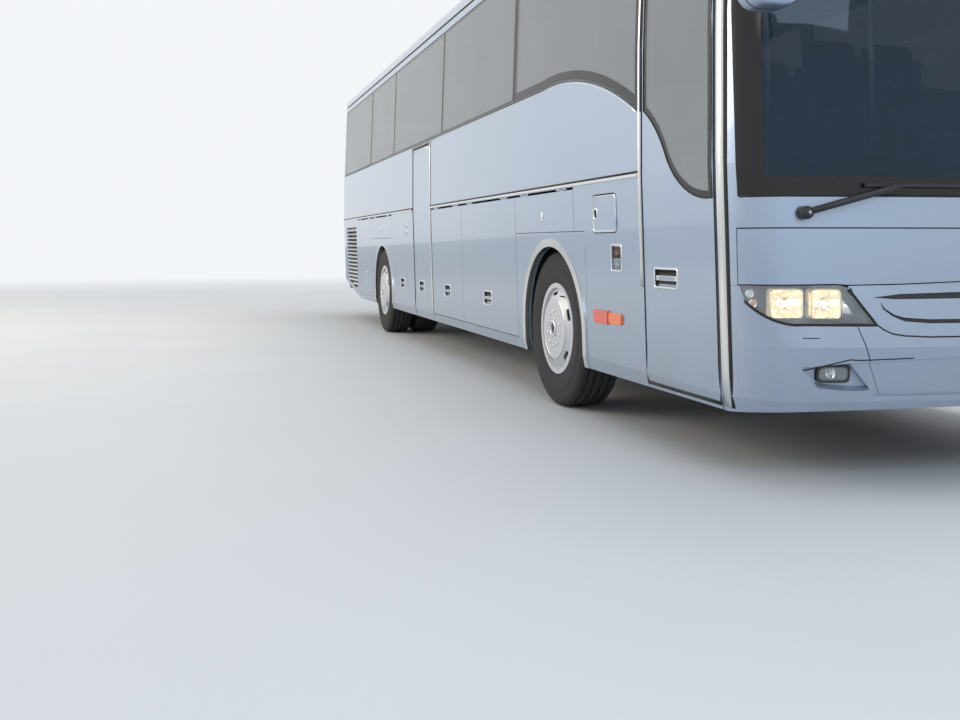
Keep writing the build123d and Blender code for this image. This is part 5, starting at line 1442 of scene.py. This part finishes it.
class RearDetails(bpy.types.Operator):
    """Adds the tail's window rubber, lamp edges, reflectors, lid grille, handle and blank plate"""

    bl_idname = "coach.rear_details"
    bl_label = "Rear details"

    def execute(self, context):
        form = Form("seal_rubber", "lamp_lens")
        form.on_tail(rounded(0.0, 2.63, 1.968, 0.908, 0.092, 8), domed(0.014, 0.005))
        for side in (-1, 1):
            lamp_y, half_bar = 1.125, 0.061
            lamp = rounded(side * lamp_y, 1.2, 0.136, 0.606, 0.022, 5)
            form.use(0).on_tail(lamp, domed(0.008, 0.004))
            for z in (1.0, 1.09, 1.30, 1.40):
                bar = [(side * (lamp_y + dy), z) for dy in (-half_bar, 0.0, half_bar)]
                form.on_tail(bar, domed(0.005, 0.002), 0.001, closed=False)
            form.use(1).turned([(0.0, 0.004), (0.036, 0.0037), (0.041, 0.002), (0.042, -0.002)],
                               tail(side * 0.86, 0.62), "X", 32, -1)
        form.piece("tail_trim", SHELL, "black_plastic")
        lid = Form("black_moulding", "chrome", "plate_white")
        slat = [(-0.010, -0.003), (-0.004, 0.003), (0.006, 0.002), (0.012, -0.003)]
        top, pitch = 1.62, 0.032
        for step in range(9):
            bar = [(y, top - step * pitch) for y in (-0.78, -0.3, 0.3, 0.78)]
            lid.on_tail(bar, slat, 0.0015, closed=False)
        plate_z = 1.05
        lid.use(2).plate([tail(y, z, 0.0045) for y, z in rounded(0.0, plate_z, 0.52, 0.12, 0.008, 4)],
                         BACK, 0.004)
        lid.use(0).on_tail(rounded(0.0, plate_z, 0.532, 0.132, 0.010, 4), domed(0.010, 0.005), 0.002)
        bow = [tail(y, 1.185, rise) for y, rise in
               ((-0.15, -0.004), (-0.14, -0.001), (-0.10, 0.0), (0.10, 0.0), (0.14, -0.001),
                (0.15, -0.004))]
        lid.use(1).strip(bow, [BACK] * len(bow), domed(0.020, 0.005, 0.002))
        lid.piece("engine_lid_trim", "engine_lid_body", "black_plastic")
        return {"FINISHED"}


class CabDetails(bpy.types.Operator):
    """Fits the cab and saloon: instruments, switches, handrails, rack edges and lamps over the seats"""

    bl_idname = "coach.cab_details"
    bl_label = "Cab and saloon"

    def execute(self, context):
        low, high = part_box("dashboard")
        form = Form("dash_moulding", "black_moulding", "chrome")
        wheel_y = 0.64
        rows = []
        for step in range(13):
            t = math.pi * step / 12
            rows.append([Vector((low.x - 0.005 + depth, wheel_y + 0.26 * math.cos(t) * grow,
                                 high.z - 0.004 + 0.115 * math.sin(t) * grow))
                         for depth, grow in ((-0.02, 1.0), (0.11, 1.06), (0.24, 0.86))])
        form.use(0).skin(rows)
        for dy, radius in ((-0.14, 0.045), (0.0, 0.055), (0.14, 0.045)):
            place = (low.x + 0.055, wheel_y + dy, high.z + 0.050)
            bezel = [(radius, 0.0), (radius + 0.004, 0.004), (radius + 0.006, -0.004)]
            form.use(2).turned(bezel, place, "X", 32, -1)
            form.use(1).turned([(0.0, 0.001), (radius, 0.0)], place, "X", 32, -1)
        for n in range(4):
            y = 0.10 + n * 0.075
            form.block((low.x - 0.006, y - 0.028, high.z - 0.12),
                       (low.x + 0.01, y + 0.028, high.z - 0.07), 0.005)
        form.block((low.x - 0.008, -0.10, high.z - 0.16), (low.x + 0.01, 0.04, high.z - 0.05), 0.006)
        form.piece("instruments", SHELL, "dash_plastic")
        rails = Form("polished_trim", "black_moulding")
        x = ahead(1.30)
        for y in (-0.40, 0.30):
            rails.tube([(x, y, 1.37), (x, y, 2.2), (x - 0.03, y, 2.62), (x - 0.03, y, 2.858)],
                       0.017, 12)
        x = ahead(2.18)
        rails.tube([(x, -1.13, 1.05), (x - 0.02, -1.10, 1.12), (x - 0.25, -0.96, 1.62),
                    (x - 0.30, -0.94, 1.9)], 0.016, 12)
        start, end = TAIL_X + 0.32, ahead(0.88)
        for side in (-1, 1):
            rack_y = side * 0.812
            rails.use(0).tube([(start, rack_y, 2.868), (end, rack_y, 2.868)], 0.012, 10)
            for n in range(11):
                x, y = start + 0.4 + n * 0.85, side * 0.95
                rails.use(1).block((x - 0.05, y - 0.09, 2.836), (x + 0.05, y + 0.09, 2.8595), 0.006)
        rails.piece("saloon_rails", SHELL, "bright_metal")
        return {"FINISHED"}


def seat_boxes(node):
    """The boxes of the seats' solids, as the CAD has them."""
    mesh = bmesh.new()
    mesh.from_mesh(NODES[node].data)
    bmesh.ops.remove_doubles(mesh, verts=mesh.verts, dist=MERGE)
    left = set(mesh.verts)
    boxes = []
    while left:
        group = {left.pop()}
        edge = set(group)
        while edge:
            edge = {other for vert in edge for link in vert.link_edges for other in link.verts} - group
            group |= edge
        left -= group
        low = Vector(min(vert.co[i] for vert in group) for i in range(3))
        high = Vector(max(vert.co[i] for vert in group) for i in range(3))
        boxes.append((low, high))
    mesh.free()
    return sorted(boxes, key=lambda box: (round(box[0].y, 2), round(box[0].x, 2)))


# Lean of the seats' backs in degrees
LEAN = 8.0


class Seats(bpy.types.Operator):
    """Upholsters all seats: cushions and backs blown up as cloth, with piping, shells and armrests"""

    bl_idname = "coach.seats"
    bl_label = "Seats"

    def execute(self, context):
        sizes = context.scene.coach_sizes
        cushion = self.pad((0.425, 0.435, 0.105), sizes.cushion_crown, (-0.075, 0.075))
        back = self.pad((0.090, 0.435, 0.560), sizes.cushion_crown * 0.6, (-0.14, 0.14))
        head = self.pad((0.075, 0.300, 0.150), sizes.cushion_crown * 0.5, ())
        pads = {"seat_cushions": cushion, "seat_backs": back, "seat_headrests": head}
        boxes = seat_boxes("passenger_seats")
        places = []
        for low, high in boxes:
            middle = (low.y + high.y) / 2
            places += [(high.x, (low.y + middle) / 2 + 0.004, low.z),
                       (high.x, (middle + high.y) / 2 - 0.004, low.z)]
        made = [self.lay(name, pad, places, name) for name, pad in pads.items()]
        for piece in (*made, self.frames(boxes, places)):
            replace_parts(piece, "passenger_seats")
        (low, high), = seat_boxes("driver_seat")
        place = (high.x, (low.y + high.y) / 2, low.z)
        made = [self.lay(name, pad, [place], "driver_" + name) for name, pad in pads.items()]
        for piece in (*made, self.driver_frame(*place)):
            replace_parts(piece, "driver_seat")
        for pad in pads.values():
            bpy.data.meshes.remove(pad)
        return {"FINISHED"}

    def pad(self, size, cap, channels):
        """A cushion about the origin: a rounded block swollen as cloth, drawn in at its seams."""
        mesh = bmesh.new()
        bmesh.ops.create_cube(mesh, size=1.0)
        for vert in mesh.verts:
            vert.co = Vector(co * (length - 0.012) for co, length in zip(vert.co, size))
        radius = min(size) * 0.32
        bmesh.ops.bevel(mesh, geom=mesh.edges[:], offset=radius, segments=3, profile=0.5, affect="EDGES")
        data = bpy.data.meshes.new("pad")
        mesh.to_mesh(data)
        mesh.free()
        obj = bpy.data.objects.new("pad", data)
        bpy.context.scene.collection.objects.link(obj)
        remesh = obj.modifiers.new("even_mesh", "REMESH")
        remesh.mode = "VOXEL"
        remesh.voxel_size = 0.014
        remesh.use_smooth_shade = True
        self.apply(obj)
        rest = [vert.co.copy() for vert in obj.data.vertices]
        self.blow_up(obj, size, channels)
        for vert, place in zip(obj.data.vertices, rest):
            step = vert.co - place
            if step.length > cap:
                vert.co = place + step * (cap / step.length)
        thin = obj.modifiers.new("fewer_faces", "DECIMATE")
        thin.ratio = min(1.0, 1500 / max(1, 2 * len(obj.data.polygons)))
        self.apply(obj)
        data = obj.data
        for poly in data.polygons:
            poly.use_smooth = True
        bpy.data.objects.remove(obj)
        return data

    def blow_up(self, obj, size, channels):
        """Cloth under a little pressure, held at its sewn channels and along the piped edge."""
        group = obj.vertex_groups.new(name="sewn")
        held = []
        for vert in obj.data.vertices:
            place = vert.co
            across, deep = (0, 2) if size[2] < 0.2 else (2, 0)
            if (any(abs(place[across] - line) < 0.008 for line in channels)
                    or place[deep] < -size[deep] * 0.36):
                held.append(vert.index)
        group.add(held, 1.0, "REPLACE")
        cloth = obj.modifiers.new("swell", "CLOTH")
        for name, value in (
                ("quality", 4), ("mass", 0.15), ("use_pressure", True),
                ("uniform_pressure_force", 4.0), ("tension_stiffness", 12),
                ("compression_stiffness", 12), ("bending_stiffness", 0.6),
                ("vertex_group_mass", group.name)):
            setattr(cloth.settings, name, value)
        cloth.settings.effector_weights.gravity = 0.0
        cloth.point_cache.frame_start = 1
        cloth.point_cache.frame_end = last = 20
        scene = bpy.context.scene
        for number in range(1, last + 1):
            scene.frame_set(number)
        self.apply(obj)
        scene.frame_set(1)

    def apply(self, obj):
        """Turns what the modifiers give into the object's own mesh."""
        graph = bpy.context.evaluated_depsgraph_get()
        made = bpy.data.meshes.new_from_object(obj.evaluated_get(graph))
        obj.modifiers.clear()
        obj.data = made

    # Each pad's way ahead of its seat's front, height over the floor, lean in degrees and finish
    SEATS = {"seat_cushions": (-0.222, 0.388, -3.0, "seat_cover"),
             "seat_backs": (-0.455, 0.705, -LEAN, "seat_cover"),
             "seat_headrests": (-0.512, 1.005, -LEAN, "seat_trim")}

    def lay(self, name, pad, places, title):
        """One piece of many like pads, each at its seat."""
        ahead_by, up, lean, finish = self.SEATS[name]
        turn = Matrix.Rotation(math.radians(lean), 3, "Y")
        own = [turn @ vert.co for vert in pad.vertices]
        own_faces = [tuple(poly.vertices) for poly in pad.polygons]
        verts = []
        faces = []
        for x, y, z in places:
            start = len(verts)
            centre = Vector((x + ahead_by, y, z + up))
            verts += [centre + co for co in own]
            faces += [tuple(start + v for v in face) for face in own_faces]
        data = bpy.data.meshes.new(title)
        data.from_pydata(verts, [], faces)
        data.polygons.foreach_set("use_smooth", [True] * len(faces))
        obj = hang(data, SHELL, "seat_fabric", finish)
        return obj

    def seat_frame(self, form, x, y, z):
        """Piping round one seat's cushion and back, and its rear shell."""
        middle = x - 0.222
        loop = rounded(middle, y, 0.410, 0.425, 0.045, 3)
        form.use(1).tube([(px, py, z + 0.432 + (px - middle) * 0.05) for px, py in loop],
                         0.0045, 5, closed=True)
        back, up = math.sin(math.radians(LEAN)), math.cos(math.radians(LEAN))
        ring = [(x - 0.412 - pz * back, py, z + 0.702 + pz * up)
                for py, pz in rounded(y, 0.0, 0.425, 0.540, 0.05, 3)]
        form.tube(ring, 0.0045, 5, closed=True)
        half_shell = 0.205
        rows = []
        for pz, thick in ((-0.30, 0.0), (-0.28, 0.026), (0.0, 0.030), (0.30, 0.026), (0.352, 0.010)):
            row = []
            for share in (-1.0, -0.86, -0.4, 0.4, 0.86, 1.0):
                deep = thick * (1.0 if abs(share) < 0.9 else 0.3)
                row.append(Vector((x - 0.500 - pz * back - deep, y + share * half_shell,
                                   z + 0.705 + pz * up)))
            rows.append(row)
        form.use(0).skin(rows)

    def frames(self, boxes, places):
        """Legs, bases, shells, armrests and grab handles of all passenger seats."""
        form = Form("black_moulding", "seat_trim", "polished_trim", "frame_paint")
        for low, high in boxes:
            x, z = high.x, low.z
            form.use(3).block((x - 0.52, low.y + 0.03, z + 0.262),
                              (x - 0.03, high.y - 0.03, z + 0.318), 0.012)
            for y in (low.y + 0.150, high.y - 0.150):
                form.block((x - 0.42, y - 0.02, z + 0.001), (x - 0.12, y + 0.02, z + 0.264), 0.006)
                form.block((x - 0.44, y - 0.045, z + 0.001), (x - 0.10, y + 0.045, z + 0.010), 0.002)
            aisle, inward = (high.y, -1) if low.y < 0 else (low.y, 1)
            for y in ((low.y + high.y) / 2, aisle + inward * 0.012):
                form.use(0).block((x - 0.44, y - 0.018, z + 0.600),
                                  (x - 0.12, y + 0.018, z + 0.640), 0.012)
                form.use(2).tube([(x - 0.455, y, z + 0.50), (x - 0.43, y, z + 0.615)], 0.012, 8)
            top = Vector((x - 0.545, aisle + inward * 0.06, z + 1.055))
            handle = ((0.03, 0, -0.13), (0, 0, -0.03), (0, 0, 0), (0, inward * 0.07, 0),
                      (0.03, inward * 0.09, -0.10))
            form.use(2).tube([top + Vector(way) for way in handle], 0.009, 8)
        for place in places:
            self.seat_frame(form, *place)
        return form.piece("seat_frames", SHELL, "black_plastic")

    def driver_frame(self, x, y, z):
        """The driver's seat on its bellows base, with armrest and lever."""
        form = Form("black_moulding", "seat_trim", "polished_trim", "seal_rubber")
        rows = []
        for n in range(13):
            share = 0.9 + 0.1 * (n % 2)
            rows.append([Vector((px, py, z + 0.03 + n * 0.017)) for px, py in
                         rounded(x - 0.27, y, 0.34 * share, 0.34 * share, 0.05, 3)])
        form.use(3).skin(rows, closed_across=True, caps=True)
        form.use(0).block((x - 0.46, y - 0.19, z + 0.001), (x - 0.10, y + 0.19, z + 0.032), 0.008)
        form.block((x - 0.50, y - 0.215, z + 0.262), (x - 0.03, y + 0.215, z + 0.325), 0.016)
        form.block((x - 0.46, y - 0.247, z + 0.60), (x - 0.14, y - 0.212, z + 0.645), 0.014)
        form.use(2).tube([(x - 0.47, y - 0.222, z + 0.50), (x - 0.44, y - 0.230, z + 0.61)], 0.012, 8)
        self.seat_frame(form, x, y, z)
        return form.piece("driver_seat_frame", SHELL, "black_plastic")


# Colour of the surroundings where the camera sees them
PALE = (0.90, 0.92, 0.94, 1.0)


class Stage(bpy.types.Operator):
    """Lays the pale floor and sets the lights and the camera"""

    bl_idname = "coach.stage"
    bl_label = "Stage"

    def execute(self, context):
        self.floor()
        self.sky()
        self.lights()
        self.camera(context.scene)
        return {"FINISHED"}

    def floor(self):
        """A pale matt floor that fades into the pale surroundings far off."""
        reach = 90.0
        mesh = bpy.data.meshes.new("studio_floor")
        corners = [(-reach, -reach, 0), (reach, -reach, 0), (reach, reach, 0), (-reach, reach, 0)]
        mesh.from_pydata(corners, [], [(0, 1, 2, 3)])
        finish = Finish("studio_floor")
        cloud = finish.noise(0.6, 2.0)
        tone = finish.mix(cloud, (0.72, 0.72, 0.72, 1.0), (0.78, 0.78, 0.78, 1.0))
        x, y = finish.axes()[:2]
        distance = (x * x + y * y) ** 0.5
        seen = finish.node("ShaderNodeLightPath", {}, {}).part("Is Camera Ray")
        far_off = ((distance - 9.0) / 16.0).clamp() * seen
        paint = finish.node("ShaderNodeBsdfPrincipled", {}, {"Base Color": tone, "Roughness": 0.75})
        glow = finish.node("ShaderNodeEmission", {}, {"Color": PALE, "Strength": 1.0})
        mesh.materials.append(
            finish.end(finish.node("ShaderNodeMixShader", {}, {0: far_off, 1: paint, 2: glow})))
        floor = bpy.data.objects.new("studio_floor", mesh)
        bpy.context.scene.collection.objects.link(floor)

    def sky(self):
        """Even pale surroundings, whiter where the camera looks straight at them."""
        sky = Finish("studio", "worlds", "ShaderNodeOutputWorld")
        soft = sky.node("ShaderNodeBackground", {}, {"Color": (0.86, 0.93, 1.0, 1.0), "Strength": 0.62})
        white = sky.node("ShaderNodeBackground", {}, {"Color": PALE, "Strength": 1.0})
        path = sky.node("ShaderNodeLightPath", {}, {})
        seen = path.part("Is Camera Ray")
        for name in ("Is Glossy Ray", "Is Transmission Ray"):
            seen = seen.maths("MAXIMUM", seen, path.part(name))
        bpy.context.scene.world = sky.end(
            sky.node("ShaderNodeMixShader", {}, {0: seen, 1: soft, 2: white}))
        bpy.context.scene.view_settings.view_transform = "Standard"

    def lights(self):
        """Four broad lamps, as name, place, aim, width, power and colour."""
        lamps = (
            ("side_light", (-4.0, -13.0, 6.0), (-1.0, -1.0, 1.6), 11.0, 760.0, (1.0, 0.89, 0.74)),
            ("front_light", (15.0, -2.0, 7.0), (5.0, 0.0, 1.4), 8.0, 360.0, (0.62, 0.80, 1.0)),
            ("top_light", (0.0, 3.0, 13.0), (0.0, 0.0, 2.0), 12.0, 500.0, (1.0, 0.99, 0.97)),
            ("left_light", (1.0, 14.0, 7.0), (0.0, 0.0, 1.5), 10.0, 420.0, (0.95, 0.97, 1.0)),
        )
        for name, place, aim, size, power, colour in lamps:
            data = bpy.data.lights.new(name, "AREA")
            data.shape = "RECTANGLE"
            data.size = size
            data.size_y = size * 0.5
            data.energy = power
            data.color = colour
            lamp = bpy.data.objects.new(name, data)
            lamp.location = place
            lamp.rotation_euler = (Vector(aim) - Vector(place)).to_track_quat("-Z", "Y").to_euler()
            bpy.context.scene.collection.objects.link(lamp)

    def camera(self, scene):
        """The photograph's own view: low beside the nose, level, looking back along the side."""
        data = bpy.data.cameras.new("photo_view")
        for name, value in (("lens", 37.95), ("sensor_width", 36.0), ("sensor_fit", "HORIZONTAL"),
                            ("shift_y", -0.1197), ("clip_end", 300.0)):
            setattr(data, name, value)
        camera = bpy.data.objects.new("photo_view", data)
        camera.location = (9.7025, -3.60, 1.084)
        camera.rotation_euler = (math.radians(90.0), 0.0, math.radians(73.95))
        scene.collection.objects.link(camera)
        scene.camera = camera


class CoachPanel(bpy.types.Panel):
    """Lists the coach's steps and choices in the sidebar"""

    bl_idname = "COACH_PT_steps"
    bl_label = "Touring coach"
    bl_space_type = "VIEW_3D"
    bl_region_type = "UI"
    bl_category = "Coach"

    def draw(self, context):
        for group in (context.scene.coach_colours, context.scene.coach_sizes):
            for name in group.__annotations__:
                self.layout.prop(group, name)
        for step in STEPS:
            self.layout.operator(step.bl_idname)


STEPS = (Stage, FinishPanels, Glazing, Tyres, WaistLines, DoorTrims, SideFittings, Lamps,
         NoseLines, Mirrors, WheelDetails, RoofDetails, Louvres, RearDetails, CabDetails, Seats)
CLASSES = (CoachColours, CoachSizes, *STEPS, CoachPanel)


def register():
    """Adds the steps, the panel and the choices to Blender."""
    for made in CLASSES:
        bpy.utils.register_class(made)
    bpy.types.Scene.coach_colours = bpy.props.PointerProperty(type=CoachColours)
    bpy.types.Scene.coach_sizes = bpy.props.PointerProperty(type=CoachSizes)


def unregister():
    """Takes them out again."""
    del bpy.types.Scene.coach_sizes
    del bpy.types.Scene.coach_colours
    for made in reversed(CLASSES):
        bpy.utils.unregister_class(made)


def main():
    """Dresses the coach step by step."""
    register()
    for step in STEPS:
        group, name = step.bl_idname.split(".")
        getattr(getattr(bpy.ops, group), name)()


if __name__ == "__main__":
    main()
